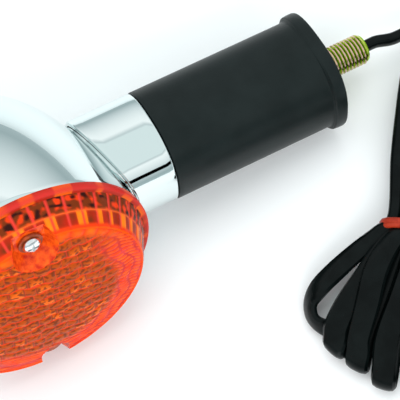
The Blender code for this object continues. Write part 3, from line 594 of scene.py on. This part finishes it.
def down_run(column, path, tip, tip_side):
    """From the tie out to a fold, over the fold, and back under the run to the next column."""
    rows = [hank_row(SPREAD_U, column * 1.18, 9.2, SIDEWAYS, TOPPED)]
    rows.append(hank_row(0.0, column, 8.8, SIDEWAYS, TIED))
    for (u, v, z), half_width in path:
        rows.append(hank_row(u, v, z, SIDEWAYS, (half_width * 1.08, 1.6)))
    side = (-tip_side[0], -tip_side[1])
    u, v, high, low = tip
    middle = (high + low) / 2.0
    bend = (high - low) / 2.0
    fold = (
        (u + bend * 1.4, v, high),
        (u + bend * 0.3, v, middle + bend * 0.75),
        (u, v - 0.1, middle),
        (u + bend * 0.3, v - 0.2, middle - bend * 0.75),
        (u + bend * 1.6, v - 0.4, low),
    )
    return rows + [hank_row(*place, side, FLAT) for place in fold]


def up_run(path, column, top_u):
    """Back under the bundle, through the tie, and over the fold at the top into the same column's upper run."""
    rows = []
    for (u, v, z), half_width in path:
        rows.append(hank_row(u, v, z, SIDEWAYS, (half_width, 1.5)))
    rows.append(hank_row(0.0, column, 4.4, SIDEWAYS, TIED))
    rows.append(hank_row(SPREAD_U, column * 1.18, 4.0, SIDEWAYS, TOPPED))
    fold = (
        (STRAIGHT_U, 3.8), (top_u - 4.2, 3.7), (top_u - 1.0, 4.5), (top_u, 6.5), (top_u - 1.0, 8.5),
        (top_u - 4.2, 9.3), (STRAIGHT_U, 9.3),
    )
    return rows + [hank_row(u, column * 1.25, z, SIDEWAYS, TOPPED) for u, z in fold]


# The full loops: column, way down, fold and its side, way back, next column, place of the fold at the top.
LOOPS = (
    (-7.6, [((-12.0, -7.4, 9.6), 3.0), ((-26.0, -7.6, 10.0), 3.5), ((-40.0, -7.2, 9.4), 3.6)],
     (-53.0, -6.6, 8.8, 2.3), (0.0, 1.0),
     [((-36.0, -6.0, 4.2), 3.2), ((-14.0, -4.6, 4.8), 2.6)], -3.8, 53.5),
    (-3.8, [((-12.0, -0.8, 9.8), 2.9), ((-26.0, 1.6, 10.4), 3.3), ((-40.0, 4.3, 9.6), 3.7)],
     (-53.6, 4.2, 8.8, 2.3), (0.18, 0.98),
     [((-36.0, 2.6, 5.4), 3.0), ((-14.0, 0.6, 5.4), 2.4)], 0.0, 54.5),
    (0.0,
     [((-8.0, 6.2, 10.6), 2.9), ((-19.0, 10.4, 12.0), 3.6), ((-31.0, 11.8, 11.0), 3.6), ((-41.0, 13.2, 9.6), 3.3)],
     (-48.8, 13.0, 8.6, 2.5), (0.36, 0.93),
     [((-34.0, 9.6, 5.6), 3.0), ((-14.0, 5.6, 5.6), 2.4)], 3.8, 53.5),
    (3.8, [((-9.0, 9.6, 8.8), 2.4), ((-20.0, 14.0, 9.0), 3.0), ((-30.0, 18.0, 9.4), 3.6), ((-38.0, 20.4, 9.4), 3.7)],
     (-44.8, 20.4, 9.0, 4.0), (0.55, 0.83),
     [((-30.0, 15.6, 5.8), 3.0), ((-13.0, 9.6, 5.4), 2.2)], 7.6, 51.0),
)

sleeve_rows = lead_rows()
for column, path, tip, tip_side, way_back, next_column, top_u in LOOPS:
    sleeve_rows += down_run(column, path, tip, tip_side) + up_run(way_back, next_column, top_u)

# The last loop lies open beside the others, goes back under the tie and ends above the hank.
sleeve_rows += [
    hank_row(SPREAD_U, 9.0, 9.2, SIDEWAYS, TOPPED),
    hank_row(0.0, 7.6, 8.8, SIDEWAYS, TIED),
    hank_row(-5.9, 11.3, 8.6, (-0.4, -1.0, 0.05), (2.6, 1.9)),
    hank_row(-12.0, 16.8, 8.2, (-0.75, -0.75, 0.1), (3.2, 1.7)),
    hank_row(-19.1, 22.9, 7.6, (-0.75, -0.7, 0.2), (3.7, 1.6)),
    hank_row(-25.3, 27.6, 6.8, (-0.75, -0.6, 0.35), (3.8, 1.6)),
    hank_row(-30.7, 29.8, 5.8, (-0.5, -0.5, 0.75), (3.7, 1.6)),
    hank_row(-35.2, 28.4, 5.0, (-0.2, -0.5, 0.9), (3.6, 1.6)),
    hank_row(-37.2, 24.6, 4.2, (0.4, -0.3, 0.9), (3.4, 1.5)),
    hank_row(-36.6, 19.8, 2.8, (0.9, 0.3, 0.4), (3.2, 1.4)),
    hank_row(-32.0, 13.6, 1.8, (0.6, 0.8, 0.0), (3.2, 1.4)),
    hank_row(-22.0, 5.6, 1.7, (0.5, 0.85, 0.0), (3.2, 1.4)),
    hank_row(-11.0, -3.4, 2.0, (0.4, 0.9, 0.0), (2.8, 1.5)),
    hank_row(0.0, -7.6, 4.2, (0.1, 1.0, 0.0), TIED),
    hank_row(16.0, -8.0, 4.0, (0.0, 1.0, 0.0), TOPPED),
    hank_row(32.0, -8.6, 3.9, (0.0, 1.0, 0.0), (2.4, 1.9)),
    (146.6, -8.6, 3.8, -0.5, 0.8, 0.0, 2.8, 1.9),
    (149.6, -6.4, 3.7, -0.55, 0.8, 0.0, 3.0, 1.8),
]
sleeve, sleeve_path, sleeve_length = flexible_tube(
    "lead_sleeve", sleeve_rows, vinyl, "mount", ("lead_tube", "lead_hank"),
)

for tail_name, route, material, slot_name in (
    ("signal", SIGNAL_TAIL_ROUTE, signal_vinyl, "signal_vinyl"),
    ("ground", GROUND_TAIL_ROUTE, ground_vinyl, "ground_vinyl"),
):
    tail_rows = [(*p, 0.0, 0.0, 1.0, 1.1, 1.1) for p in route]
    tail, tail_path, tail_length = flexible_tube(
        f"tail_{tail_name}", tail_rows, material, "mount", (f"lead_tail_{tail_name}",),
        step=0.6, count=16, power=2.0,
    )
    refinish(f"bullet_{tail_name}", brass)


TIE_STEPS = 40
TIE_HEIGHT = 6.7
TIE_HALF_WIDTH = 1.05
TIE_HALF_THICKNESS = 0.9


def tie_loop(offset, grow, lean):
    """One turn of the tie, a round cord drawn tight around the bundle."""
    rows = []
    for i in range(TIE_STEPS):
        angle = 2.0 * math.pi * i / TIE_STEPS + 0.4
        reach = oval_reach((10.9 + grow, 5.3 + grow), 2.8, angle)
        wave = 0.35 * math.sin(3.0 * angle + offset * 5.0)
        place = HANK_TIE + HANK_ALONG * (offset + wave * 0.5 + lean * math.cos(angle))
        place = place + HANK_ACROSS * (reach * math.cos(angle))
        rows.append((place.x, place.y, TIE_HEIGHT + reach * math.sin(angle)))
    return rows


def tie_shape():
    """The tie's two turns, side by side."""
    points, faces = [], []
    for offset, grow, lean in ((-4.0, 0.0, 0.25), (-2.2, 0.15, -0.2)):
        rows = tie_loop(offset, grow, lean)
        rings = []
        for i, row in enumerate(rows):
            side, out = cross_axes(rows[i - 1], rows[(i + 1) % TIE_STEPS], HANK_ALONG.to_3d())
            side, out = side * TIE_HALF_WIDTH, out * TIE_HALF_THICKNESS
            rings.append([tuple(Vector(row) + side * math.cos(a) + out * math.sin(a)) for a in angles(16)])
        more_points, more_faces = loft(rings, closed=True)
        shift = len(points)
        points += more_points
        faces += [tuple(i + shift for i in face) for face in more_faces]
    return points, faces


piece("hank_tie_cord", tie_shape(), tie_vinyl, "mount", ("hank_tie",), place=TABLE)


# ---------------- housing, neck and collar

# The housing is half an ellipsoid behind its front edge. The collar and the rubber are superellipses of one power.
HOUSING_R = 38.6
HOUSING_FRONT = 2.0
HOUSING_DEPTH = 65.0
HOLLOW_R = 37.2
HOLLOW_DEPTH = 63.6
STEM_POWER = 2.3
COLLAR = (17.87, 16.43)
COLLAR_WALL = 1.3
COLLAR_END_X = 54.0
NECK_INSET = 1.6
SCREW_Z = 29.4


def housing_x(y, z):
    """The housing's surface towards the stem."""
    left = 1.0 - ((y - HOUSING_FRONT) / HOUSING_DEPTH) ** 2 - (z / HOUSING_R) ** 2
    return HOUSING_R * math.sqrt(max(0.0, left))


def collar_start(angle):
    """Where the collar begins, just clear of the housing."""
    reach = oval_reach(COLLAR, STEM_POWER, angle)
    return housing_x(STEM_Y + reach * math.cos(angle), reach * math.sin(angle)) + 1.6


def shrunk(amount):
    return (COLLAR[0] - amount, COLLAR[1] - amount)


def neck_foot(angle):
    """How far out the neck's fillet meets the housing: wide behind, and short of the front edge."""
    turned_by = abs(math.degrees(math.atan2(math.sin(angle), math.cos(angle))))
    share = min(1.0, max(0.0, (turned_by - 75.0) / 55.0))
    reach = oval_reach(shrunk(NECK_INSET), STEM_POWER, angle) + 3.6 + 10.4 * share * share * (3.0 - 2.0 * share)
    if -math.cos(angle) > 0.05:
        reach = min(reach, (STEM_Y - HOUSING_FRONT - 0.3) / -math.cos(angle))
    return reach


def make_housing():
    """The dome with its lip over the gasket, the neck with its fillet, and the two screw bosses."""
    outer = [(38.35, 0.5), (38.5, 0.5), (HOUSING_R, 0.65), (HOUSING_R, HOUSING_FRONT + 0.3)]
    for i in range(1, 72):
        t = math.pi / 2.0 * i / 72.0
        outer.append((HOUSING_R * math.cos(t), HOUSING_FRONT + HOUSING_DEPTH * math.sin(t)))
    inner = [(0.0, 65.6)]
    for i in range(31, 0, -1):
        t = math.pi / 2.0 * i / 32.0
        inner.append((HOLLOW_R * math.cos(t), HOUSING_FRONT + HOLLOW_DEPTH * math.sin(t)))
    inner += [(HOLLOW_R, 3.4), (34.5, 3.4), (34.5, HOUSING_FRONT), (38.35, HOUSING_FRONT)]
    profile = [(0.0, HOUSING_FRONT + HOUSING_DEPTH)] + outer[::-1] + inner[::-1]
    piece("housing_dome", turned(profile, 224), chrome, "head", ("housing_shell",))
    steps = 28
    rings = [[] for _ in range(steps + 2)]
    for angle in angles(256):
        across, upward = math.cos(angle), math.sin(angle)
        reach = oval_reach(shrunk(NECK_INSET), STEM_POWER, angle)
        foot = neck_foot(angle)
        foot_x = housing_x(STEM_Y + foot * across, foot * upward) - 0.12
        end_x = collar_start(angle) - 0.4
        for i in range(steps + 1):
            bend = math.pi / 2.0 * i / steps
            out = reach + (foot - reach) * (1.0 - math.sin(bend))
            x = foot_x + (end_x - foot_x) * (1.0 - math.cos(bend))
            rings[i].append((x, STEM_Y + out * across, out * upward))
        rings[-1].append((53.8, STEM_Y + reach * across, reach * upward))
    piece("housing_neck", loft(rings, caps=False), chrome, "head", (), sharp_deg=60.0)
    for side_name, sign in (("top", 1.0), ("bottom", -1.0)):
        boss = rounded([(1.9, 14.0), (1.9, 4.9), (3.6, 4.9), (3.6, 17.0), (0.0, 17.0)], 0.3)
        boss = turned([(0.0, 14.0)] + boss, 48, (0.0, 0.0, sign * SCREW_Z))
        piece(f"housing_boss_{side_name}", boss, chrome, "head", ())


def make_collar():
    """The chromed sleeve: a saddle edge at the housing, a rounded lip at the rubber."""
    rings = []
    edge, lip, count = 0.55, 0.6, 192
    quarter = [math.pi / 2.0 * i / 6.0 for i in range(7)]
    for t in quarter:
        inset, back = edge * (1.0 - math.sin(t)), edge * (1.0 - math.cos(t))
        rings.append(stem_ring(lambda a, b=back: collar_start(a) + b, shrunk(inset), count=count))
    for share in (0.15, 0.3, 0.45, 0.6, 0.75, 0.9):
        rings.append(stem_ring(lambda a, s=share: collar_start(a) * (1 - s) + 53.3 * s, COLLAR, count=count))
    for t in quarter:
        rings.append(stem_ring(COLLAR_END_X - lip + lip * math.sin(t), shrunk(lip * (1.0 - math.cos(t))), count=count))
    rings.append(stem_ring(COLLAR_END_X, shrunk(COLLAR_WALL), count=count))
    rings.append(stem_ring(collar_start, shrunk(COLLAR_WALL), count=count))
    piece("collar_sleeve", loft(rings, closed=True), chrome, "head", ("stem_collar",), sharp_deg=50.0)


make_housing()
make_collar()


# ---------------- rubber stem and stud

def bend_with_stem(thing):
    """Bakes a piece's placement into its points."""
    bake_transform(thing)


def make_rubber():
    """The rubber, from rows of (x, half width, half height, power): outside to the flange, then back inside."""
    rows = [(54.2, 17.5, 16.0, 2.3), (54.3, 17.8, 16.3, 2.3), (54.6, 17.95, 16.45, 2.3)]
    for i in range(1, 40):
        rows.append((54.5 + 53.9 * i / 40.0, 17.95, 16.45, 2.3))
    for i in range(9):
        t = math.pi / 2.0 * i / 8.0
        grow = 1.0 - math.cos(t)
        rows.append((108.6 + 0.9 * math.sin(t), 17.95 + 0.3 * grow, 16.45 + 0.2 * grow, 2.3 + 0.15 * grow))
    rows += [(109.6, 18.3, 16.7, 2.5), (109.75, 18.3, 16.7, 2.5), (109.85, 18.5, 16.75, 2.5)]
    rows += [(110.1, 18.8, 16.9, 2.57), (110.6, 18.9, 16.95, 2.57), (111.6, 19.0, 17.0, 2.57)]
    rows += [(113.2, 19.0, 17.0, 2.57), (113.8, 18.8, 16.8, 2.57)]
    rows += [(114.0, 18.4, 16.45, 2.57), (114.0, 13.1, 11.9, 2.3), (113.6, 12.9, 11.7, 2.3)]
    rows += [(110.4, 12.9, 11.7, 2.3), (110.4, 6.2, 6.2, 2.0)]
    for i in range(1, 20):
        rows.append((110.4 - (110.4 - 57.3) * i / 19.0, 6.2, 6.2, 2.0))
    rows += [(57.3, 13.3, 12.3, 2.3), (53.9, 13.3, 12.3, 2.3)]
    rings = [stem_ring(x, (a, b), power, count=128) for x, a, b, power in rows]
    bend_with_stem(piece("rubber_stem", loft(rings, closed=True), rubber, None, ("stem_rubber",)))


THREAD_START_X = 113.8
THREAD_END_X = 130.6
THREAD_PITCH = 1.25
THREAD_ROOT_R = 4.25
THREAD_CREST_R = 5.0


def make_stud():
    """The hollow stud. Its thread is a true helix that runs out at the chamfer and at the flange."""
    count, steps = 72, 128
    rings = [stem_ring(110.7, (2.8, 2.8), 2.0, count), stem_ring(110.7, (12.8, 11.6), 2.3, count)]
    rings += [stem_ring(113.5, (12.8, 11.6), 2.3, count), stem_ring(THREAD_START_X, (12.5, 11.3), 2.3, count)]
    rings.append(stem_ring(THREAD_START_X, (4.3, 4.3), 2.0, count))
    shade = [0.4] * (5 * count)
    for i in range(steps + 1):
        x = THREAD_START_X + (THREAD_END_X - THREAD_START_X) * i / steps
        ring = []
        for angle in angles(count):
            phase = ((x - THREAD_START_X) / THREAD_PITCH - angle / (2.0 * math.pi)) % 1.0
            crest = min(1.0, max(0.0, 1.95 - abs(phase - 0.5) * 4.6))
            runout = min(1.0, max(0.0, (x - 114.1) / 0.8)) * min(1.0, max(0.0, (130.45 - x) / 1.2))
            radius = THREAD_ROOT_R + (THREAD_CREST_R - THREAD_ROOT_R) * crest * runout
            radius = min(radius, 4.15 + THREAD_END_X - x)
            ring.append((x, STEM_Y + radius * math.cos(angle), radius * math.sin(angle)))
            # Dark at the roots, painted shade in the grooves; the flanks and crests take the plating's colours.
            shade.append(min(1.0, (0.1 + 0.9 * crest**0.7) * runout + 0.4 * (1.0 - runout)))
        rings.append(ring)
    rings.append(stem_ring(THREAD_END_X, (3.1, 3.1), 2.0, count))
    rings.append(stem_ring(THREAD_END_X - 0.3, (2.8, 2.8), 2.0, count))
    # The end face takes a bright value and the bore's inside a dark one, painted shade.
    shade += [0.9] * count + [0.2] * count
    piece("stud_thread", loft(rings, closed=True), zinc, "mount", ("mounting_stud",), shade=shade)


make_rubber()
make_stud()


WIRE_R = 1.05


def inner_wire(name, route, z, material):
    """A wire from the socket through the stem, at height z in it."""
    route = route + [(x, STEM_Y, z) for x in (52.0, 60.0, 70.0, 80.0, 90.0, 100.0, 110.0, 120.0, 129.0)]
    fine = [blend_rows(route, i / 10.0) for i in range(10 * (len(route) - 1) + 1)]
    rings = []
    for i, row in enumerate(fine):
        before, after = Vector(fine[max(i - 1, 0)]), Vector(fine[min(i + 1, len(fine) - 1)])
        steep = abs((after - before).normalized().z) >= 0.9
        side, out = cross_axes(before, after, Vector((0.0, 1.0, 0.0) if steep else (0.0, 0.0, 1.0)))
        rings.append([tuple(Vector(row) + (side * math.cos(a) + out * math.sin(a)) * WIRE_R) for a in angles(14)])
    node_name = name.replace("_core", "_wire")
    bend_with_stem(piece(name, loft(rings), material, None, (node_name,)))


inner_wire(
    "signal_core",
    [(0.0, 53.0, 0.0), (0.0, 56.5, 0.0), (0.6, 60.0, 0.0), (4.5, 62.0, 0.2), (9.5, 60.5, 0.5), (15.0, 55.5, 0.9),
     (20.5, 48.0, 1.2), (26.0, 39.0, 1.25), (31.0, 30.5, 1.25), (35.0, 25.2, 1.25), (39.5, 22.8, 1.25),
     (45.0, STEM_Y, 1.25)],
    1.25, signal_vinyl,
)
inner_wire(
    "ground_core",
    [(12.4, 32.4, -11.1), (13.4, 32.8, -13.6), (17.5, 32.6, -14.8), (23.5, 30.5, -12.0), (29.5, 27.0, -7.2),
     (34.5, 24.2, -3.0), (39.0, 22.8, -1.5), (45.0, STEM_Y, -1.25)],
    -1.25, ground_vinyl,
)


# ---------------- lens

FACE_R = 33.0
FACE_Y = -11.7
FACE_RISE = 3.5
ROW_PITCH = 3.7
COLUMN_PITCH = 4.4
RIBS = 42

# The pockets of the two lens screws: the floor's place, its radius and the widening of the sides. The lower one is
# narrower and deeper, and its screw sits deeper too, so that only a notch shows.
POCKET_TOP = (-8.0, 5.0, 0.52)
POCKET_BOTTOM = (-5.8, 3.3, 0.24)
LOWER_SCREW_SINK = 2.3

# Colours of the lens's prisms. Their pattern stands in for how the prisms bend light: the lit orange is painted light,
# and the brown and the near-black are painted shade.
LIT_ORANGE = (1.0, 0.22, 0.01)
ORANGE = (1.0, 0.16, 0.004)
DULL_ORANGE = (1.0, 0.11, 0.01)
SEAM_ORANGE = (0.95, 0.12, 0.02)
RED_ORANGE = (0.85, 0.045, 0.006)
DEEP_RED = (0.52, 0.016, 0.006)
SHADE_BROWN = (0.17, 0.028, 0.005)
AMBER_BROWN = (0.44, 0.060, 0.002)
PINK = (0.72, 0.045, 0.045)
SHADE_BLACK = (0.03, 0.006, 0.004)


def fraction(value):
    return value - math.floor(value)


def smooth(low, high, value):
    """0 below low, 1 above high, and a smooth step between."""
    share = min(1.0, max(0.0, (value - low) / (high - low)))
    return share * share * (3.0 - 2.0 * share)


def pillow(value, sharpness):
    """0 at each whole number and 1 between them."""
    return 1.0 - abs(2.0 * fraction(value) - 1.0) ** sharpness


def mix(a, b, share):
    return tuple(p + (q - p) * share for p, q in zip(a, b))


def cloud(x, y, z, scale):
    """Smooth noise from 0 to 1."""
    return 0.5 + 0.5 * max(-1.0, min(1.0, 1.6 * noise.noise(Vector((x, y, z)) * scale)))


def face_relief(x, z):
    """(height in millimetres, colour) of the prisms on the lens face: wavy rows of cells, with finer slanted ones
    towards the stem and below, and petals under the upper edge. Its colours are painted light and shade: each
    cell lit towards one side of its row, shaded brown patches, and darker red lines in the grooves between them."""
    radius = math.hypot(x, z)
    turned_by = math.degrees(math.atan2(z, x))
    wander = 0.35 * noise.noise(Vector((x, z, 3.0)) * 0.11)
    waves = 0.09 * math.sin(x * 1.1 + 1.7 * math.floor(z / ROW_PITCH))
    row = z / ROW_PITCH + 0.05 * x + wander + waves
    line = math.floor(row)
    column = x / COLUMN_PITCH + 0.5 * (line % 2) + 0.3 * noise.noise(Vector((line * 3.1, x * 0.2, 0.0)))
    cell = math.floor(column)
    down = 1.0 - fraction(row)
    rise = pillow(row, 2.4) * pillow(column, 3.5)
    chance = noise.cell(Vector((cell * 1.7 + 0.3, line * 1.3 + 0.4, 5.0)))
    # Each cell is lit towards one side of its row: painted light.
    glow = smooth(0.4, 1.0, 0.55 * chance + 0.65 * down * pillow(column, 4.0))
    inside = mix(AMBER_BROWN, ORANGE, 0.75 * glow)
    # Brown patches, in the cells and in blotches: painted shade.
    dark = (1.0 - smooth(0.3, 0.85, pillow(column, 3.5))) * smooth(0.2, 0.5, chance)
    dark = max(dark, smooth(0.52, 0.7, cloud(x * 1.6, z * 2.6, 7.0, 0.45)))
    inside = mix(inside, SHADE_BROWN, 0.9 * dark)
    edge = mix(RED_ORANGE, DEEP_RED, 0.45 * cloud(x, z, 1.0, 0.25))
    between = 0.45 + 0.55 * smooth(0.05, 0.3, pillow(column, 3.5))
    colour = mix(edge, inside, smooth(0.10, 0.45, pillow(row, 2.4)) * between)
    height = 0.42 * rise
    outer = smooth(21.5, 26.0, radius + 2.0 * wander)
    outer *= smooth(-150.0, -120.0, turned_by) * (1.0 - smooth(20.0, 60.0, turned_by))
    if outer > 0.0:
        # The slanted stripes: orange where they rise, pink and deep red in their grooves, painted light and shade.
        slant = (x * 0.35 + z * 0.94) / 1.55 + 0.35 * math.sin(radius * 0.8)
        band = pillow((radius - 21.0) / 3.9 + 0.3 * math.sin(slant * 0.7), 3.0)
        lift = pillow(slant, 2.0) * band
        warm = mix(RED_ORANGE, DULL_ORANGE, cloud(x, z, 9.0, 0.4))
        striped = mix(mix(PINK, DEEP_RED, cloud(x, z, 4.0, 0.3)), warm, smooth(0.2, 0.7, lift))
        colour = mix(colour, striped, outer)
        height = height * (1.0 - outer) + 0.26 * lift * outer
    near_edge = smooth(28.5, 31.5, radius)
    near_edge *= smooth(20.0, 60.0, turned_by) * (1.0 - smooth(150.0, 170.0, turned_by))
    if near_edge > 0.0:
        petal = pillow(turned_by / 360.0 * RIBS, 2.5)
        colour = mix(colour, mix(RED_ORANGE, ORANGE, petal * cloud(x, z, 2.0, 0.3)), near_edge)
        height = height * (1.0 - near_edge) + 0.35 * petal * near_edge
    return height, colour


def wall_relief(angle, share):
    """(height, colour) of the wall's upright ribs. share runs from 0 at the flange to 1 at the face. Its colours
    are painted light and shade: darker with near-black spots near the flange, and each panel nearer the face
    half lit and half shaded.
    """
    panel = angle / (2.0 * math.pi) * RIBS
    rise = pillow(panel, 5.0)
    number = math.floor(panel)
    chance = noise.cell(Vector((number * 1.3 + 0.2, 2.0, 1.0)))
    across = fraction(panel)
    if share < 0.5:
        # Near the flange: brown patches and near-black spots, painted shade.
        patch = cloud(across * 3.0 + number * 5.3, share * 5.0, 2.0, 1.0)
        inside = mix(SHADE_BROWN, RED_ORANGE, smooth(0.45, 0.85, patch))
        spots = smooth(0.62, 0.9, cloud(number * 3.7, share * 6.0, across * 2.0, 1.0))
        inside = mix(inside, SHADE_BLACK, spots)
    else:
        # Nearer the face each panel has a lit orange half and a shaded brown half: painted light and shade.
        split = smooth(0.40, 0.5, across + 0.25 * chance - 0.1)
        if chance <= 0.35:
            split = 1.0 - split
        patch = cloud(across * 2.0 + number * 2.3, share * 3.0, 8.0, 1.0)
        inside = mix(mix(ORANGE, LIT_ORANGE, patch), mix(SHADE_BROWN, DEEP_RED, patch), split)
    rib = mix(RED_ORANGE, PINK, 0.65)
    colour = mix(rib, inside, smooth(0.42, 0.62, rise))
    line = math.exp(-(((share - 0.5) / 0.035) ** 2))
    colour = mix(colour, SEAM_ORANGE, 0.8 * line)
    colour = mix(colour, RED_ORANGE, smooth(0.86, 0.97, share))
    return 0.32 * rise - 0.12 * line, colour


def flange_painted_light(angle):
    """The rim's band, dark red with orange dashes: painted shade with dashes of painted light."""
    dash = smooth(0.52, 0.62, cloud(math.cos(angle) * 6.0, math.sin(angle) * 6.0, 5.0, 1.0))
    return mix(mix(DEEP_RED, SHADE_BROWN, 0.35), ORANGE, 0.75 * dash)


def make_lens():
    """The lens moulding: its face, wall, rim and hollow back, with a pocket and a bore for each screw."""
    count, face_steps, wall_steps = 630, 110, 26
    # Each point keeps a colour: the amber's own, with painted light and shade for how the prisms bend light.
    points, tint_and_painted_light, rows = [], [], []

    def add_row(place_of):
        """Adds a ring of points, from the (radius, y, colour) that place_of gives at each angle."""
        row = []
        for angle in angles(count):
            radius, y, colour = place_of(angle)
            row.append(len(points))
            points.append((radius * math.cos(angle), y, radius * math.sin(angle)))
            tint_and_painted_light.append(colour)
        rows.append(row)

    points.append((0.0, FACE_Y - FACE_RISE, 0.0))
    tint_and_painted_light.append(ORANGE)
    rows.append([0])
    for i in range(1, face_steps + 1):
        radius = 32.3 * i / face_steps
        fade = min(1.0, (32.6 - radius) / 0.8)
        base = FACE_Y - FACE_RISE * (1.0 - (radius / FACE_R) ** 2)

        def on_face(angle, radius=radius, fade=fade, base=base):
            height, colour = face_relief(radius * math.cos(angle), radius * math.sin(angle))
            return radius, base + 0.44 - fade * height, colour

        add_row(on_face)
    for radius, y in ((32.7, -11.75), (33.0, -11.6)):
        add_row(lambda angle, radius=radius, y=y: (radius, y, mix(RED_ORANGE, ORANGE, 0.35)))
    for i in range(wall_steps + 1):
        share = 1.0 - i / wall_steps
        radius = 38.0 - 4.8 * share
        y = -2.5 - 8.8 * share

        def on_wall(angle, radius=radius, y=y, share=share):
            height, colour = wall_relief(angle, share)
            return radius - 0.3 + height, y, colour

        add_row(on_wall)
    for radius, y, dark in (
        (38.3, -2.45, 0.9), (38.8, -2.4, 0.7), (39.3, -2.4, 0.3), (39.75, -2.2, 0.0), (39.9, -1.8, 0.0),
        (39.9, -0.8, 0.3), (39.9, -0.2, 0.5), (39.7, 0.2, 0.8),
    ):
        # The band turns pink-red on the rim's rounded outer corner: painted sheen.
        rim_sheen_red = mix(PINK, DEEP_RED, 0.4)
        add_row(lambda a, r=radius, y=y, d=dark: (r, y, mix(flange_painted_light(a), rim_sheen_red, 0.8 - 0.8 * d)))
    for radius, y in ((35.0, 0.2), (34.6, -3.0), (33.4, -4.0), (20.0, -4.0), (19.0, -11.9), (10.0, -12.9)):
        add_row(lambda a, r=radius, y=y: (r, y, ORANGE))
    points.append((0.0, -13.2, 0.0))
    tint_and_painted_light.append(ORANGE)
    rows.append([len(points) - 1])
    shape = (points, row_faces(rows, count))
    lens = piece("lens_moulding", shape, amber, None, ("lens",), tint_and_painted_light=tint_and_painted_light)
    for sign, size in ((1.0, POCKET_TOP), (-1.0, POCKET_BOTTOM)):
        cut(lens, pocket(sign, *size), material=amber_pocket)
        bore = [(0.0, -12.0), (2.1, -12.0), (2.1, 4.0), (0.0, 4.0)]
        cut(lens, turned(bore, 32, (0.0, 0.0, sign * SCREW_Z)), material=amber_pocket)
    # A cut leaves some of its own corners without a colour.
    for item in lens.data.attributes["tint_and_painted_light"].data:
        if item.color[2] > 0.2 or item.color[0] < 0.02:
            item.color = (*RED_ORANGE, 1.0)
    lens.data.set_sharp_from_angle(angle=math.radians(45.0))
    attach(lens, "lens")


def pocket(sign, floor, floor_radius, draft):
    """The screw's pocket: a U, open at the front and at the side, wider towards the front."""
    rings = []
    for i in range(9):
        y = floor - 11.0 * i / 8.0
        ripple = 0.12 if i % 2 else 0.0
        radius = floor_radius + (floor - y) * draft + ripple
        ring = []
        for step in range(41):
            a = math.pi + math.pi * step / 40
            ring.append((radius * math.cos(a), y, sign * (SCREW_Z + radius * math.sin(a))))
        ring += [(radius, y, sign * 46.0), (-radius, y, sign * 46.0)]
        rings.append(ring)
    return loft(rings)


make_lens()


# ---------------- screws, gasket and inside

def make_screw(side_name, sign):
    """A lens screw with a crossed slot in its domed head."""
    corners = [(0.0, -11.0), (1.6, -10.9, 0.5), (2.5, -10.4, 0.8), (2.9, -9.8, 0.3), (2.9, -9.3, 0.15), (1.55, -9.3)]
    profile = rounded(corners + [(1.55, 13.4), (0.9, 14.2), (0.0, 14.2)], 0.2, 6)
    sink = 0.0 if sign > 0 else LOWER_SCREW_SINK
    profile = [(radius, y + sink if y < -5.0 else y) for radius, y in profile]
    screw = piece(
        f"lens_screw_head_{side_name}", turned(profile, 64, (0.0, 0.0, sign * SCREW_Z)), bright, None,
        (f"lens_screw_{side_name}",),
    )
    for half_x, half_z in ((1.8, 0.4), (0.4, 1.8)):
        ring = [(half_x, sign * SCREW_Z + half_z), (-half_x, sign * SCREW_Z + half_z)]
        ring += [(-half_x, sign * SCREW_Z - half_z), (half_x, sign * SCREW_Z - half_z)]
        cut(screw, loft([[(x, y + sink, z) for x, z in ring] for y in (-12.0, -10.0)]))
    screw.data.set_sharp_from_angle(angle=math.radians(35.0))
    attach(screw, f"lens_screw_{side_name}")


make_screw("top", 1.0)
make_screw("bottom", -1.0)


def make_inside():
    """The reflector's dish, and the bulb's glass with its neck."""
    outer, inner = [], []
    for i in range(25):
        share = i / 24.0
        y = 3.6 + (29.3 - 3.6) * share
        r = math.sqrt(24.6**2 + (15.5**2 - 24.6**2) * share)
        outer.append((r, y))
        inner.append((r + 0.75, y + 0.35))
    profile = [(34.1, 3.6)] + outer + [(9.6, 29.3), (9.6, 30.1)] + inner[::-1] + [(34.1, 4.4)]
    piece("reflector_dish", turned(profile, 160, closed=True), reflector_metal, "head", ("reflector",))
    turns = [math.radians(a) for a in range(-86, 58, 6)]
    outside = [(13.25 * math.cos(t), 10.0 + 13.25 * math.sin(t)) for t in turns]
    inside = [(12.6 * math.cos(t), 10.0 + 12.6 * math.sin(t)) for t in turns]
    neck = [(6.6, 22.6), (6.2, 25.0), (6.2, 33.8), (5.5, 33.8), (5.5, 24.6)]
    profile = [(0.0, -3.25)] + outside + neck + inside[::-1] + [(0.0, -2.6)]
    piece("bulb_envelope", turned(profile, 96), bulb_clear, "bulb", ("bulb_glass",))


make_inside()

for node_name, material in (
    ("lens_gasket", gasket), ("lens_screw_washer_top", washer), ("lens_screw_washer_bottom", washer),
    ("stem_bolt", steel), ("stem_washer", steel), ("stem_nut", steel), ("socket_shell", steel),
    ("contact_spring", steel), ("socket_screw_right", bright), ("socket_screw_left", bright),
    ("ground_terminal", brass), ("contact_disc", fibre), ("contact_pin", brass), ("bulb_cap", brass),
    ("bulb_filament", tungsten), ("bulb_contact", solder),
):
    refinish(node_name, material)


# ---------------- floor

floor_white = node_material("floor_paper", (0.93, 0.95, 0.96), 0.6)
add_mottle(floor_white, 3.0, (0.93, 0.95, 0.96), (0.95, 0.965, 0.975))
floor_mesh = bpy.data.meshes.new("floor")
floor_corners = [(-3.0, -3.0, 0.0), (3.0, -3.0, 0.0), (3.0, 3.0, 0.0), (-3.0, 3.0, 0.0)]
floor_mesh.from_pydata(floor_corners, [], [(0, 1, 2, 3)])
floor_mesh.materials.append(floor_white)
floor_object = bpy.data.objects.new("floor", floor_mesh)
link(floor_object)
